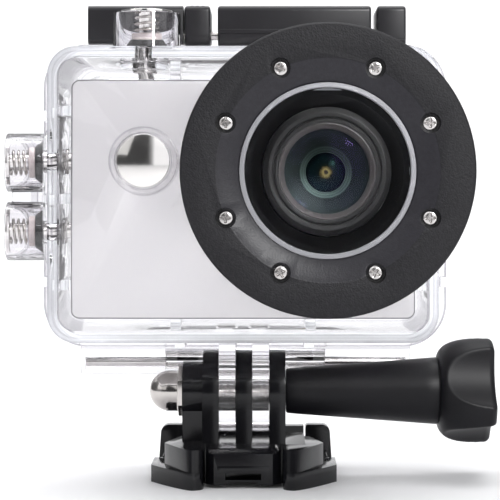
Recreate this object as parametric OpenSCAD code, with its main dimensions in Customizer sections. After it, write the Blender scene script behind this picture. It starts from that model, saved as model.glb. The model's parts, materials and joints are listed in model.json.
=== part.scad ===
// Action camera in a clear dive housing, on a three-prong quick-release buckle with a thumbscrew.
// +X is the viewer's right, +Y points away from the subject, +Z is up. The lens looks along -Y.
// The origin is the centre of the buckle's flat underside, below the pivot axis.

/* [Pivot] */
// Height of the pivot axis above the buckle's underside
pivot_z = 15.5; // [15.2:0.1:16]
// Thickness of each buckle prong
prong_t = 2.9; // [2.7:0.05:2.95]
// Distance between the centres of two buckle prongs
prong_pitch = 5.95; // [5.95:0.05:6]
// Radius of the rounded prong ends
prong_r = 7.4; // [7:0.1:7.5]
// Diameter of the thumbscrew's steel shank
bolt_d = 4.9; // [4.7:0.1:4.9]
// Radial clearance of the shank in the prongs
bolt_fit = 0.08; // [0.05:0.01:0.1]

/* [Buckle] */
// Width across the sliding rails
buckle_w = 33; // [32:0.2:33]
// Distance from the front tips to the pivot axis
buckle_front = 16; // [15.5:0.5:17]
// Thickness of the sliding rails
rail_t = 3; // [2.8:0.1:3.2]
// Height of the buckle's body above its underside
buckle_h = 6.9; // [6.5:0.1:7]
// Height of the finger tabs
tab_h = 8.1; // [7.8:0.1:8.3]

/* [Thumbscrew] */
// Radius of the handle at the buckle
handle_r0 = 4.05; // [3.8:0.05:4.5]
// Radius of the handle at the head
handle_r1 = 6.05; // [5.8:0.05:6.3]
// Distance from the centre plane to the start of the head
handle_x1 = 35; // [34:0.5:36]
// Distance from the centre plane to the end of the head
head_x1 = 44.8; // [44:0.1:45]
// Largest radius of the head
head_r = 9.9; // [9.5:0.1:9.95]
// Number of finger scallops round the head
scallops = 4; // [3:1:4]

/* [Camera] */
// Width of the camera body
camera_w = 59.3; // [59:0.1:59.4]
// Height of the camera body
camera_h = 41.2; // [41:0.1:41.3]
// Depth of the camera body without its lens
camera_d = 22.5; // [22:0.1:22.6]
// Height of the camera's underside above the pivot axis
camera_rise = 14; // [13.9:0.1:14]
// Distance of the lens axis from the centre plane
lens_x = 14.3; // [14.2:0.1:14.4]
// Height of the lens axis above the pivot axis
lens_rise = 39.3; // [39.2:0.1:39.4]
// Radius of the lens barrel
barrel_r = 10.8; // [10.4:0.1:11]
// Radius of the front lens
glass_r = 7.1; // [6.8:0.1:7.2]

/* [Housing] */
// Width of the housing's front box
box_w = 67; // [66.8:0.1:67.2]
// Width of the rim that the door closes on
rim_w = 74.6; // [74.2:0.1:75]
// Height of the rim's lower edge above the pivot axis
rim_low = 7.5; // [7.4:0.1:7.6]
// Height of the rim's upper edge above the pivot axis
rim_high = 63.5; // [63.4:0.1:63.6]
// Corner radius of the rim
rim_r = 8; // [7:0.5:9]
// Wall thickness of the clear housing
wall = 2; // [1.9:0.1:2]
// Outer radius of the black ring round the window
ring_r = 24.7; // [24.4:0.1:24.7]
// Radius of the circle that the ring's screws lie on
screw_circle_r = 18.8; // [18.5:0.1:19]
// Angle from the horizontal to the nearest ring screws
screw_angle = 24.9; // [22:0.1:26]

/* [Buttons] */
// Travel of every push button
travel = 0.6; // [0.4:0.1:0.6]
// Diameter of the push button shafts
shaft_d = 3; // [2.8:0.1:3]
// Radial clearance of the shafts
shaft_fit = 0.05; // [0.03:0.01:0.08]
// Gap between a shaft's tip and the camera's own button
tip_gap = 0.1; // [0.1:0.05:0.2]

/* [Hidden] */
$fn = 64;
eps = 0.01;

// Camera body
camera_x = camera_w / 2;
camera_z0 = pivot_z + camera_rise;
camera_z1 = camera_z0 + camera_h;
camera_y0 = -14;
camera_y1 = camera_y0 + camera_d;
camera_split_y = 2;
camera_wall = 1.5;
camera_r = 1.5;
case_screw_x = 26.6;
case_screw_z = [camera_z0 + 2.8, camera_z1 - 2.8];
lens_z = pivot_z + lens_rise;
bezel_r = 14.4;
bezel_y0 = -15.3;
barrel_y0 = -19.8;

// Pieces inside the camera: ranges along the axes
hatch_x = [-24, 4];
hatch_y = [-10.5, -0.5];
tripod_x = 12;
tripod_y = -5;
tripod_r = 3.9;
usb_y = [-7.9, -5.1];
usb_z = [camera_z0 + 8.6, camera_z0 + 16.4];
hdmi_y = [-7.9, -4.1];
hdmi_z = [camera_z0 + 20.6, camera_z0 + 32.4];
card_y = [-2.7, -0.8];
card_z = [camera_z0 + 10.3, camera_z0 + 24.7];
screen_w = 46;
screen_z = [camera_z0 + 6.5, camera_z0 + 36.5];
board_y = 2.4;
board_t = 1;

// Lens elements: radii, and distances along the lens axis from the frame's centre plane
trim_r = 8.2;
glass_back = 15.2;
glass_front = 19.3;
inner_r = 3.2;
inner_back = 8.4;
inner_front = 12.8;
aperture_r = 2.2;
lens_fit = 0.05;

// Clear housing
rib_half = 0.9;
rib_x = 11.7;
rib_z = [pivot_z + 19.7, pivot_z + 34.7, pivot_z + 50];
rib_y0 = camera_y0 + 3;
box_x = box_w / 2;
box_z0 = pivot_z + 10;
box_z1 = pivot_z + 60.8;
box_r = 5;
box_y0 = -17.5;
rim_z0 = pivot_z + rim_low;
rim_z1 = pivot_z + rim_high;
rim_y0 = 6;
rim_y1 = 9;
cavity_x = 31.9;
cavity_z0 = box_z0 + wall;
cavity_z1 = box_z1 - wall;
cavity_y0 = box_y0 + wall;
cavity_r = 3;
port_r = 22;
port_y0 = -20.5;
lip_r = 14.75;
lip_y0 = -24.2;
pocket_r = 14;
pocket_y1 = -20.6;
port_bore_r = 13.2;
ring_y0 = -25.4;
ring_y1 = -18.2;
dish_r = 18.7;
dish_depth = 1.5;
screw_head_r = 1.25;
counterbore_r = 1.7;
screw_angles = [
    for (q = [0, 180]) for (a = [-90 + screw_angle, -screw_angle, screw_angle, 90 - screw_angle]) q + a
];

// Door and its hinge
door_gap = 0.3;
door_y0 = rim_y1 + door_gap;
seal_w = 1.8;
seal_reach = 2.7;
seal_groove = 1;
seal_play = 0.05;
door_y1 = 11.5;
panel_y1 = 14.5;
door_z1 = rim_z1 - 0.4;
hinge_y = 13.2;
hinge_z = pivot_z + 4.1;
knuckle_r = 2.6;
centre_knuckle_r = 2;
knuckle_x0 = 15;
knuckle_x1 = 31;
hinge_pin_r = 0.9;

// Latch along the top of the rim
latch_y0 = 4;
latch_y1 = 15.5;
latch_z1 = pivot_z + 70.5;
latch_r = 1;
latch_pin_y = 6.2;
latch_pin_z = pivot_z + 65.1;
latch_pin_r = 0.8;
latch_knuckle_r = 2.2;
latch_fit = 0.06;
anchor_left_x = [-28.9, -11.4];
lock_x = [-11.1, -6.4];
lever_x = [-5, 23.3];
anchor_right_x = [24.4, 29.7];
recess_z = rim_z1 - 1;

// Push buttons: cap radius, guard radius and place
button_y = -3;
shutter_x = -17.5;
shutter_cap_r = 4.7;
shutter_guard_r = 6.1;
shutter_guard_z1 = pivot_z + 68;
shutter_cap_z1 = pivot_z + 68.8;
side_button_z = [pivot_z + 41.3, pivot_z + 29];
side_cap_r = 3.9;
side_guard_r = 5.3;
side_seat_r = 5.8;
side_seat_x = -35.5;
side_guard_x = -42.4;
side_cap_x = -42.5;
power_x = -16.9;
power_z = pivot_z + 41.1;
power_cap_r = 4.55;
power_guard_r = 5.8;
power_guard_y = -20.7;
power_cap_y = -20.4;
guard_t = 1;
cap_t = 1;
shaft_r = shaft_d / 2;
seal_h = 1.4;
washer_h = 1.1;
washer_r = 2.7;
clip_r = 2.3;
clip_t = 0.55;
clip_gap = 0.05;
camera_button_rise = travel;
camera_button_r = 2.4;
side_key_r = 1.5;
key_fit = 0.08;
spring_wire = 0.45;
power_seal_h = 0.7;
seal_seat = 0.02;
shutter_seat = 0.5;
boss_h = 0.9;

// Distances from a button's seat: top of its cap, tip of its shaft and inner face of the wall
shutter_cap_top = shutter_cap_z1 - box_z1;
side_cap_top = side_seat_x - side_cap_x;
power_cap_top = box_y0 - power_cap_y;
shutter_tip = box_z1 - camera_z1 - camera_button_rise - tip_gap;
side_tip = -side_seat_x - camera_x - camera_button_rise - tip_gap;
power_tip = camera_y0 - camera_button_rise - tip_gap - box_y0;
shutter_inner = wall + boss_h;
side_inner = -side_seat_x - cavity_x;

// Scallops of the thumbscrew's head
scallop_r = 11.2;
scallop_reach = 17.8;
scallop_lean = 8.5;
scallop_turn = 22;

// Buckle
core_x = 10.9;
body_x = 6.5;
body_z0 = 0.6;
body_front = 13.9;
foot_x0 = 6.9;
foot_x1 = buckle_w / 2;
block_x1 = 14.1;
shoulder_y = -6.2;
clip_x = 14.2;
clip_y = 2.6;
clip_root_r = 1.3;
clip_end_y = 14.5;
boss_x = -11.1;
boss_r = 5.3;
nut_af = 8;
nut_pocket_x = -8.6;

// ---- Shared shapes ----

// Cylinder along X
module x_rod(r, x0, x1, y, z) {
    translate([x0, y, z]) rotate([0, 90, 0]) cylinder(r = r, h = x1 - x0);
}

// Cylinder along Y
module y_rod(r, y0, y1, x, z) {
    translate([x, y1, z]) rotate([90, 0, 0]) cylinder(r = r, h = y1 - y0);
}

// Box from its two corners
module block(low, high) {
    translate(low) cube(high - low);
}

// Rectangle with round corners
module rounded(w, h, r) {
    square([w - 2 * r, h], center = true);
    square([w, h - 2 * r], center = true);
    for (x = [-1, 1]) {
        for (y = [-1, 1]) {
            translate([x * (w / 2 - r), y * (h / 2 - r)]) circle(r);
        }
    }
}

// Round-cornered slab across the centre plane, facing Y
module slab(w, z0, z1, y0, y1, r) {
    translate([0, y1, (z0 + z1) / 2]) rotate([90, 0, 0]) linear_extrude(y1 - y0) rounded(w, z1 - z0, r);
}

// A Y-Z outline drawn as [y, z] points, extruded from x0 to x1
module profile_x(x0, x1) {
    translate([x0, 0, 0]) rotate([90, 0, 90]) linear_extrude(x1 - x0) children();
}

// Helical wire along +Z from the origin: turns of wire between 0 and length
function helix_ring(t, turns, r, length, wire, sides) =
    let (a = 360 * turns * t, z = wire + t * (length - 2 * wire))
    [for (i = [0:sides - 1])
        let (b = 360 * i / sides, d = r + wire * cos(b))
        [d * cos(a), d * sin(a), z + wire * sin(b)]];

module helix(turns, r, length, wire) {
    sides = 8;
    steps = 18 * turns;
    points = [for (k = [0:steps]) each helix_ring(k / steps, turns, r, length, wire, sides)];
    walls = [for (k = [0:steps - 1]) for (i = [0:sides - 1])
        let (a = k * sides + i, b = k * sides + (i + 1) % sides)
        [a, b, b + sides, a + sides]];
    first = [[for (i = [sides - 1:-1:0]) i]];
    last = [[for (i = [0:sides - 1]) steps * sides + i]];
    polyhedron(points, [for (f = concat(walls, first, last)) [for (i = [len(f) - 1:-1:0]) f[i]]]);
}

// ---- Buckle ----

// Plan of one foot: a rounded inner tip, then a lead-in that sweeps out to the shoulder
module foot_plan(outer, front, back_inset) {
    tip_r = 2;
    sweep = 1.25;
    tip_x = foot_x0 + tip_r;
    polygon(concat(
        [[foot_x0, clip_y]],
        [for (a = [180:15:270]) [tip_x + tip_r * cos(a), -front + tip_r + tip_r * sin(a)]],
        [for (t = [0.1:0.1:1]) [tip_x + (outer - tip_x) * t, -front + (front + shoulder_y) * pow(t, sweep)]],
        [[outer - back_inset, clip_y]]
    ));
}

module foot() {
    block_step = 0.3;
    block_taper = 2.4;
    linear_extrude(rail_t) foot_plan(foot_x1, buckle_front, 0);
    translate([0, 0, rail_t - eps]) linear_extrude(buckle_h - rail_t)
        foot_plan(block_x1, buckle_front - block_step, block_taper);
}

// Plan of the body between the feet, with its front corners cut off
module body_plan(inset) {
    corner = 1.4;
    side_x = body_x - inset;
    front_x = body_x - corner - inset / 2;
    front_y = -body_front + inset;
    polygon([
        [-side_x, -8], [-side_x, front_y + corner], [-front_x, front_y],
        [front_x, front_y], [side_x, front_y + corner], [side_x, -8]
    ]);
}

// Body between the feet, with a bevelled top and a raised panel round its slot
module buckle_body() {
    bevel = 0.9;
    panel_x = 4.5;
    panel_z = [1.5, 3.9];
    translate([0, 0, body_z0]) linear_extrude(buckle_h - bevel - body_z0) body_plan(0);
    hull() {
        translate([0, 0, buckle_h - bevel - eps]) linear_extrude(eps) body_plan(0);
        translate([0, 0, buckle_h - eps]) linear_extrude(eps) body_plan(bevel);
    }
    block([-panel_x, -body_front - 0.25, panel_z[0]], [panel_x, -body_front + 0.1, panel_z[1]]);
}

module prong(x) {
    x_rod(prong_r, x - prong_t / 2, x + prong_t / 2, 0, pivot_z);
    block([x - prong_t / 2, -prong_r, buckle_h - 1], [x + prong_t / 2, prong_r, pivot_z]);
}

module buckle_base() {
    slot_x = 3.1;
    slot_z = [1.5, 2.7];
    slot_depth = 5;
    core_y = [-8.4, 10.5];
    wall_y = 7.6;
    web_y = 4.2;
    nut_pocket = 4;
    clip_fit = 0.06;
    color("#1b1b1d") difference() {
        union() {
            block([-core_x, core_y[0], 0], [core_x, core_y[1], buckle_h]);
            buckle_body();
            block([-core_x, wall_y, buckle_h - 1], [core_x, core_y[1], tab_h]);
            for (s = [0, 1]) {
                mirror([s, 0, 0]) foot();
                mirror([s, 0, 0]) block([foot_x0 - 2, core_y[0], 1], [foot_x0 + 2, clip_y, buckle_h - 0.5]);
            }
            for (i = [-1, 0, 1]) {
                prong(i * prong_pitch);
            }
            x_rod(boss_r, boss_x, -prong_pitch, 0, pivot_z);
            block([boss_x, -web_y, buckle_h - 1], [-prong_pitch, web_y, pivot_z - 2]);
        }
        x_rod(bolt_d / 2 + bolt_fit, boss_x - 1, prong_pitch + prong_t, 0, pivot_z);
        translate([nut_pocket_x - nut_pocket, 0, pivot_z]) rotate([0, 90, 0])
            cylinder(d = (nut_af + 0.1) / cos(30), h = nut_pocket, $fn = 6);
        block([-slot_x, -body_front - 1, slot_z[0]], [slot_x, -body_front + slot_depth, slot_z[1]]);
        // Relief under the slot, with sloping ends
        translate([0, -body_front + 2, 0]) rotate([90, 0, 0]) linear_extrude(3) polygon([
            [-slot_x, -1], [-slot_x, body_z0 + 0.05], [-slot_x + 1, slot_z[0] - 0.35],
            [slot_x - 1, slot_z[0] - 0.35], [slot_x, body_z0 + 0.05], [slot_x, -1]
        ]);
        for (s = [-1, 1]) {
            translate([s * clip_x, clip_y, -1]) cylinder(r = clip_root_r + clip_fit, h = tab_h + 2);
        }
    }
}

// Springy finger clip on the viewer's right; it turns on its root
module finger_clip() {
    arm_half = 1;
    arm_z0 = 0.5;
    translate([clip_x, clip_y, arm_z0]) cylinder(r = clip_root_r, h = rail_t - arm_z0);
    block([clip_x - arm_half, clip_y + 0.2, arm_z0], [clip_x + arm_half, clip_end_y - 1, rail_t]);
    finger_tab();
}

// Upright tab at the end of the clip: its outer edge leans in and its top outer corner is round
module finger_tab() {
    tab_x = [11.3, 16.3];
    tab_z0 = 0.9;
    tab_t = 3.3;
    lean = 0.35;
    corner_r = 1.5;
    top = tab_h - 0.25;
    middle = [tab_x[1] - lean - corner_r, top - corner_r];
    translate([0, clip_end_y, 0]) rotate([90, 0, 0]) linear_extrude(tab_t) polygon(concat(
        [[tab_x[0], tab_z0], [tab_x[1], tab_z0]],
        [for (a = [0:15:90]) middle + corner_r * [cos(a), sin(a)]],
        [[tab_x[0] + 0.3, top], [tab_x[0], top - 0.3]]
    ));
}

module buckle_clip_right() {
    color("#1b1b1d") finger_clip();
}

module buckle_clip_left() {
    color("#1b1b1d") mirror([1, 0, 0]) finger_clip();
}

module cap_nut() {
    dome_r = 3.65;
    dome_x = -13.6;
    hex_x0 = -12;
    color("#c9c6c2") difference() {
        union() {
            translate([hex_x0, 0, pivot_z]) rotate([0, 90, 0])
                cylinder(d = nut_af / cos(30), h = nut_pocket_x - 0.05 - hex_x0, $fn = 6);
            x_rod(dome_r, dome_x, hex_x0 + eps, 0, pivot_z);
            translate([dome_x, 0, pivot_z]) sphere(dome_r);
        }
        x_rod(bolt_d / 2 + 0.04, -14.2, 0, 0, pivot_z);
    }
}

// ---- Thumbscrew ----

// Outline of the knob from the buckle outwards: tapered handle, then a bell-shaped head
module thumbscrew_knob() {
    base_x = prong_pitch + prong_t / 2 + 0.1;
    flare = head_r - handle_r1;
    flare_x = head_x1 - 1;
    color("#2b2b2f") difference() {
        translate([base_x, 0, pivot_z]) rotate([0, 90, 0]) rotate_extrude() polygon(concat(
            [[0, 0], [handle_r0 - 0.3, 0], [handle_r0, 0.3], [handle_r1, handle_x1 - base_x]],
            [for (a = [15:15:75])
                [handle_r1 + flare * sin(a), flare_x - base_x - (flare_x - handle_x1) * pow(cos(a), 0.8)]],
            [[head_r, flare_x - base_x], [head_r - 0.3, head_x1 - 0.3 - base_x],
                [head_r - 1, head_x1 - base_x], [0, head_x1 - base_x]]
        ));
        for (i = [0:scallops - 1]) {
            rotate_about_pivot(scallop_turn + i * 360 / scallops) scallop_cutter();
        }
        x_rod(bolt_d / 2, 0, 24, 0, pivot_z);
    }
}

// Turns its children about the pivot axis, from the side that faces the subject upwards
module rotate_about_pivot(angle) {
    translate([0, 0, pivot_z]) rotate([-angle, 0, 0]) translate([0, 0, -pivot_z]) children();
}

// Wide shallow cutter that bites deepest at the end of the head
module scallop_cutter() {
    translate([head_x1, -scallop_reach, pivot_z]) rotate([0, 0, scallop_lean]) rotate([0, -90, 0])
        translate([0, 0, -2]) cylinder(r = scallop_r, h = 14);
}

module thumbscrew_bolt() {
    color("#b9b6b2") x_rod(bolt_d / 2, -13.9, 24, 0, pivot_z);
}

// ---- Clear housing ----

// Open tube along +Z round a button
module guard_tube(r, h) {
    difference() {
        cylinder(r = r, h = h);
        translate([0, 0, -1]) cylinder(r = r - guard_t, h = h + 2);
    }
}

module housing_prong(x) {
    t = prong_pitch - prong_t - 0.1;
    x_rod(prong_r - 0.1, x - t / 2, x + t / 2, 0, pivot_z);
    block([x - t / 2, -prong_r + 0.1, pivot_z], [x + t / 2, prong_r - 0.1, box_z0 + 1]);
}

// Shell material before the cavity and bores are cut
module housing_solid() {
    slab(box_w, box_z0, box_z1, box_y0, rim_y0 + 1, box_r);
    slab(rim_w, rim_z0, rim_z1, rim_y0, rim_y1, rim_r);
    y_rod(port_r, port_y0, box_y0 + 1, lens_x, lens_z);
    y_rod(lip_r, lip_y0, port_y0 + 1, lens_x, lens_z);
    // Thick seat under the two side buttons
    for (z = side_button_z) {
        x_rod(side_seat_r, side_seat_x, -box_x + 1, button_y, z);
    }
    block([side_seat_x, button_y - side_seat_r + 0.4, side_button_z[1]],
        [-box_x + 1, button_y + side_seat_r - 0.4, side_button_z[0]]);
    // Web between the two side guards
    block([side_guard_x + 0.8, button_y - 1.3, side_button_z[1] + side_guard_r - 0.5],
        [side_seat_x + 1, button_y + 1.3, side_button_z[0] - side_guard_r + 0.5]);
    for (i = [-0.5, 0.5]) {
        housing_prong(i * prong_pitch);
    }
    x_rod(centre_knuckle_r, -knuckle_x0 + 0.1, knuckle_x0 - 0.1, hinge_y, hinge_z);
    profile_x(-knuckle_x0 + 0.1, knuckle_x0 - 0.1) polygon([
        [rim_y0 + 0.5, rim_z0 + 2], [rim_y1 - 0.1, rim_z0 + 2], [rim_y1 - 0.1, rim_z0 - 0.6],
        [hinge_y, hinge_z + 1.8], [hinge_y, hinge_z - 1.8], [rim_y0 + 0.5, rim_z0 - 0.4]
    ]);
    // Gussets between the box and the rim
    for (x = [-rib_x, rib_x]) {
        block([x - rib_half, -1, rim_z0 + 0.4], [x + rib_half, rim_y0 + 1, box_z0 + 1]);
        block([x - rib_half, -1, box_z1 - 1], [x + rib_half, rim_y0 + 1, rim_z1 - 1.2]);
    }
    for (s = [0, 1]) {
        for (z = rib_z) {
            mirror([s, 0, 0]) block([box_x - 0.3, 1, z - rib_half], [box_x + 3.3, rim_y0 + 1, z + rib_half]);
        }
    }
}

module housing_front() {
    color("#e4ebf2", 0.35) {
        difference() {
            housing_solid();
            slab(2 * cavity_x, cavity_z0, cavity_z1, cavity_y0, rim_y1 + 1, cavity_r);
            y_rod(pocket_r, lip_y0 - 1, pocket_y1, lens_x, lens_z);
            y_rod(port_bore_r, pocket_y1 - 1, cavity_y0 + 1, lens_x, lens_z);
            // Recess under the latch
            block([lock_x[0] - 0.2, rim_y0 - 1, recess_z], [anchor_right_x[1] + 0.2, rim_y1 + 1, rim_z1 + 1]);
            translate([shutter_x, button_y, cavity_z1 - 2]) cylinder(r = shaft_r + shaft_fit, h = 8);
            for (z = side_button_z) {
                x_rod(shaft_r + shaft_fit, side_seat_x - 1, -cavity_x + 1, button_y, z);
            }
            y_rod(shaft_r + shaft_fit, box_y0 - 1, cavity_y0 + 1, power_x, power_z);
            x_rod(bolt_d / 2 + bolt_fit, -6, 6, 0, pivot_z);
            x_rod(hinge_pin_r, -knuckle_x0 - 1, knuckle_x0 + 1, hinge_y, hinge_z);
            for (a = screw_angles) {
                y_rod(0.8, port_y0 - 1, port_y0 + 2.6,
                    lens_x + screw_circle_r * cos(a), lens_z + screw_circle_r * sin(a));
            }
        }
        // Boss inside the wall at the shutter shaft
        difference() {
            translate([shutter_x, button_y, cavity_z1 - boss_h]) cylinder(r = 4.4, h = boss_h + 0.1);
            translate([shutter_x, button_y, cavity_z1 - 2]) cylinder(r = shaft_r + shaft_fit, h = 8);
        }
        // Guards round the buttons
        translate([shutter_x, button_y, box_z1 - 0.5])
            guard_tube(shutter_guard_r, shutter_guard_z1 - box_z1 + 0.5);
        for (z = side_button_z) {
            translate([side_seat_x + 0.5, button_y, z]) rotate([0, -90, 0])
                guard_tube(side_guard_r, side_seat_x + 0.5 - side_guard_x);
        }
        translate([power_x, box_y0 + 0.5, power_z]) rotate([90, 0, 0])
            guard_tube(power_guard_r, box_y0 + 0.5 - power_guard_y);
        // Ribs that hold the camera
        for (x = [-rib_x, rib_x]) {
            block([x - rib_half, rib_y0, cavity_z0 - 0.5], [x + rib_half, camera_y1, camera_z0 - 0.05]);
            block([x - rib_half, rib_y0, camera_z1 + 0.05], [x + rib_half, camera_y1, cavity_z1 + 0.5]);
        }
        for (s = [0, 1]) {
            for (z = rib_z) {
                mirror([s, 0, 0])
                    block([camera_x + 0.05, rib_y0, z - rib_half], [cavity_x + 0.2, camera_y1, z + rib_half]);
            }
        }
    }
}

module lens_ring() {
    color("#232327") difference() {
        union() {
            y_rod(ring_r, ring_y0 + 0.35, ring_y1, lens_x, lens_z);
            translate([lens_x, ring_y0 + 0.35, lens_z]) rotate([90, 0, 0])
                cylinder(r1 = ring_r, r2 = ring_r - 0.35, h = 0.35);
        }
        y_rod(port_r + 0.1, port_y0 - 0.05, ring_y1 + 1, lens_x, lens_z);
        y_rod(lip_r + 0.1, ring_y0 - 1, ring_y1 + 1, lens_x, lens_z);
        translate([lens_x, ring_y0 + dish_depth, lens_z]) rotate([90, 0, 0])
            cylinder(r1 = lip_r + 0.1, r2 = dish_r + 0.03, h = dish_depth + eps);
        for (a = screw_angles) {
            x = lens_x + screw_circle_r * cos(a);
            z = lens_z + screw_circle_r * sin(a);
            y_rod(counterbore_r, ring_y0 - 1, ring_y0 + 1.4, x, z);
            y_rod(0.85, ring_y0, ring_y1, x, z);
        }
    }
}

module ring_screws() {
    color("#cfcfd1") for (a = screw_angles) {
        x = lens_x + screw_circle_r * cos(a);
        z = lens_z + screw_circle_r * sin(a);
        difference() {
            union() {
                y_rod(screw_head_r, ring_y0 + 0.4, ring_y0 + 1.4, x, z);
                y_rod(0.75, ring_y0 + 1.3, port_y0 + 2.4, x, z);
            }
            translate([x, ring_y0 + 0.6, z]) rotate([0, a, 0]) cube([1.6, 0.5, 0.34], center = true);
            translate([x, ring_y0 + 0.6, z]) rotate([0, a, 0]) cube([0.34, 0.5, 1.6], center = true);
        }
    }
}

module lens_window() {
    color("#dfe8ee", 0.3) y_rod(pocket_r - 0.05, -23, -21.1, lens_x, lens_z);
}

module window_seal() {
    flat_up = 13.55;
    flat_right = 13.75;
    color("#111113") difference() {
        y_rod(pocket_r - 0.1, -21.05, -20.65, lens_x, lens_z);
        y_rod(12.9, -22, -20, lens_x, lens_z);
        block([lens_x - 10, -22, lens_z + flat_up], [lens_x + 10, -20, lens_z + 15]);
        block([lens_x + flat_right, -22, lens_z - 10], [lens_x + 15, -20, lens_z + 10]);
    }
}

// ---- Door ----

// Round-cornered frame round the mouth of the housing; out is how far it reaches past the mouth
module seal_frame(out, width, y0, y1) {
    difference() {
        slab(2 * (cavity_x + out), cavity_z0 - out, cavity_z1 + out, y0, y1, cavity_r + 2);
        slab(2 * (cavity_x + out - width), cavity_z0 - out + width, cavity_z1 + out - width,
            y0 - 1, y1 + 1, cavity_r + 2 - width);
    }
}

module housing_door() {
    color("#e4ebf2", 0.35) difference() {
        union() {
            slab(rim_w, rim_z0, door_z1, door_y0, door_y1, rim_r);
            slab(66, box_z0 + 0.6, box_z1 - 0.6, door_y1 - 1, panel_y1, box_r);
            for (s = [-1, 1]) {
                low = min(s * knuckle_x0, s * knuckle_x1);
                high = max(s * knuckle_x0, s * knuckle_x1);
                x_rod(knuckle_r, low, high, hinge_y, hinge_z);
                profile_x(low, high) polygon([
                    [door_y0 + 1.4, rim_z0 + 2], [panel_y1, rim_z0 + 3.6], [hinge_y + 2.4, hinge_z],
                    [hinge_y - 2.4, hinge_z]
                ]);
            }
        }
        slab(2 * cavity_x - 3, cavity_z0 + 1.2, cavity_z1 - 1.2, door_y0 - 1, panel_y1 - 1.8, cavity_r);
        seal_frame(seal_reach, seal_w + 2 * seal_play, door_y0 - 1, door_y0 + seal_groove);
        x_rod(hinge_pin_r + 0.07, -knuckle_x1 + 0.8, knuckle_x1 - 0.8, hinge_y, hinge_z);
    }
}

module door_seal() {
    color("#f3f4f5")
        seal_frame(seal_reach - seal_play, seal_w, rim_y1 + seal_play, door_y0 + seal_groove - seal_play);
}

module door_hinge_pin() {
    color("#9a9aa0") x_rod(hinge_pin_r, -knuckle_x1 + 0.9, knuckle_x1 - 0.9, hinge_y, hinge_z);
}

// ---- Latch ----

// Y-Z outline of the latch bar above its lower edge z0
module latch_outline(z0) {
    h = latch_z1 - z0;
    translate([(latch_y0 + latch_y1) / 2, z0 + h / 2]) rounded(latch_y1 - latch_y0, h, latch_r);
}

module latch_anchor_left() {
    x = anchor_left_x;
    color("#2e2d31") difference() {
        union() {
            profile_x(x[0], x[1]) latch_outline(rim_z1);
            block([x[0] + 0.4, latch_y0 + 0.2, rim_z1], [x[1], latch_y1 - 0.2, rim_z1 + 2]);
        }
        x_rod(latch_pin_r, x[1] - 4, x[1] + 1, latch_pin_y, latch_pin_z);
    }
}

module latch_anchor_right() {
    x = anchor_right_x;
    color("#2e2d31") difference() {
        union() {
            profile_x(x[0], x[1]) latch_outline(rim_z1);
            block([x[0], latch_y0 + 0.2, recess_z], [x[1], rim_y1 - 0.1, rim_z1 + 2]);
        }
        x_rod(latch_pin_r, x[0] - 1, x[0] + 4, latch_pin_y, latch_pin_z);
    }
}

module latch_pin() {
    color("#a5a5aa")
        x_rod(latch_pin_r, anchor_left_x[1] - 3.9, anchor_right_x[0] + 3.9, latch_pin_y, latch_pin_z);
}

module latch_lever() {
    x = lever_x;
    lift_tab = 2;
    color("#2e2d31") difference() {
        union() {
            profile_x(x[0], x[1]) latch_outline(rim_z1 + 1.6);
            x_rod(latch_knuckle_r, x[0], x[1], latch_pin_y, latch_pin_z);
            block([x[0], latch_y1 - 2, rim_z1 + 0.4], [x[1], latch_y1 - 0.1, latch_z1 - 2]);
            block([x[0] + 6, latch_y1 - 1, latch_z1 - 1.6], [x[1] - 6, latch_y1 + lift_tab, latch_z1 - 0.2]);
        }
        block([x[0] + 1.6, latch_pin_y + 2.6, rim_z1 - 1], [x[1] - 1.6, latch_y1 - 1.8, latch_z1 - 1.8]);
        x_rod(latch_pin_r + latch_fit, x[0] - 1, x[1] + 1, latch_pin_y, latch_pin_z);
        for (i = [0:5]) {
            block([x[0] + 4, 8 + i, latch_z1 - 0.3], [x[1] - 4, 8.4 + i, latch_z1 + 1]);
        }
    }
}

module latch_lock() {
    x = lock_x;
    color("#2e2d31") difference() {
        union() {
            profile_x(x[0], x[1]) latch_outline(rim_z1 + 0.6);
            x_rod(latch_knuckle_r, x[0], x[1], latch_pin_y, latch_pin_z);
        }
        x_rod(latch_pin_r + latch_fit, x[0] - 1, x[1] + 1, latch_pin_y, latch_pin_z);
        for (i = [0:2]) {
            block([x[0] + 1.1 + i, 6, latch_z1 - 0.3], [x[0] + 1.5 + i, 13, latch_z1 + 1]);
        }
    }
}

// ---- Push buttons ----
// Each is drawn along +Z from its seat on the housing, and placed by place_*.

module place_shutter() {
    translate([shutter_x, button_y, box_z1]) children();
}

module place_side(z) {
    translate([side_seat_x, button_y, z]) rotate([0, -90, 0]) children();
}

module place_power() {
    translate([power_x, box_y0, power_z]) rotate([90, 0, 0]) children();
}

module plunger(cap_r, top, tip) {
    rotate_extrude() polygon([
        [0, -tip], [shaft_r - 0.3, -tip], [shaft_r, -tip + 0.3], [shaft_r, top - cap_t],
        [cap_r - 0.2, top - cap_t], [cap_r, top - cap_t + 0.2], [cap_r, top - 0.3], [cap_r - 0.3, top],
        [0, top]
    ]);
}

// Retaining clip below the wall, open on one side
module shaft_clip(inner) {
    translate([0, 0, -inner - clip_gap - clip_t]) difference() {
        cylinder(r = clip_r, h = clip_t);
        translate([0, 0, -1]) cylinder(r = shaft_r, h = clip_t + 2);
        translate([-0.9, 0, -1]) cube([1.8, clip_r + 1, clip_t + 2]);
    }
}

// Flared rubber seal under the washer
module shaft_seal(h) {
    difference() {
        cylinder(r1 = 3.9, r2 = 2.9, h = h);
        translate([0, 0, -1]) cylinder(r = shaft_r + 0.03, h = h + 2);
    }
}

module shaft_washer() {
    difference() {
        cylinder(r = washer_r, h = washer_h);
        translate([0, 0, -1]) cylinder(r = shaft_r + 0.06, h = washer_h + 2);
    }
}

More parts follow.
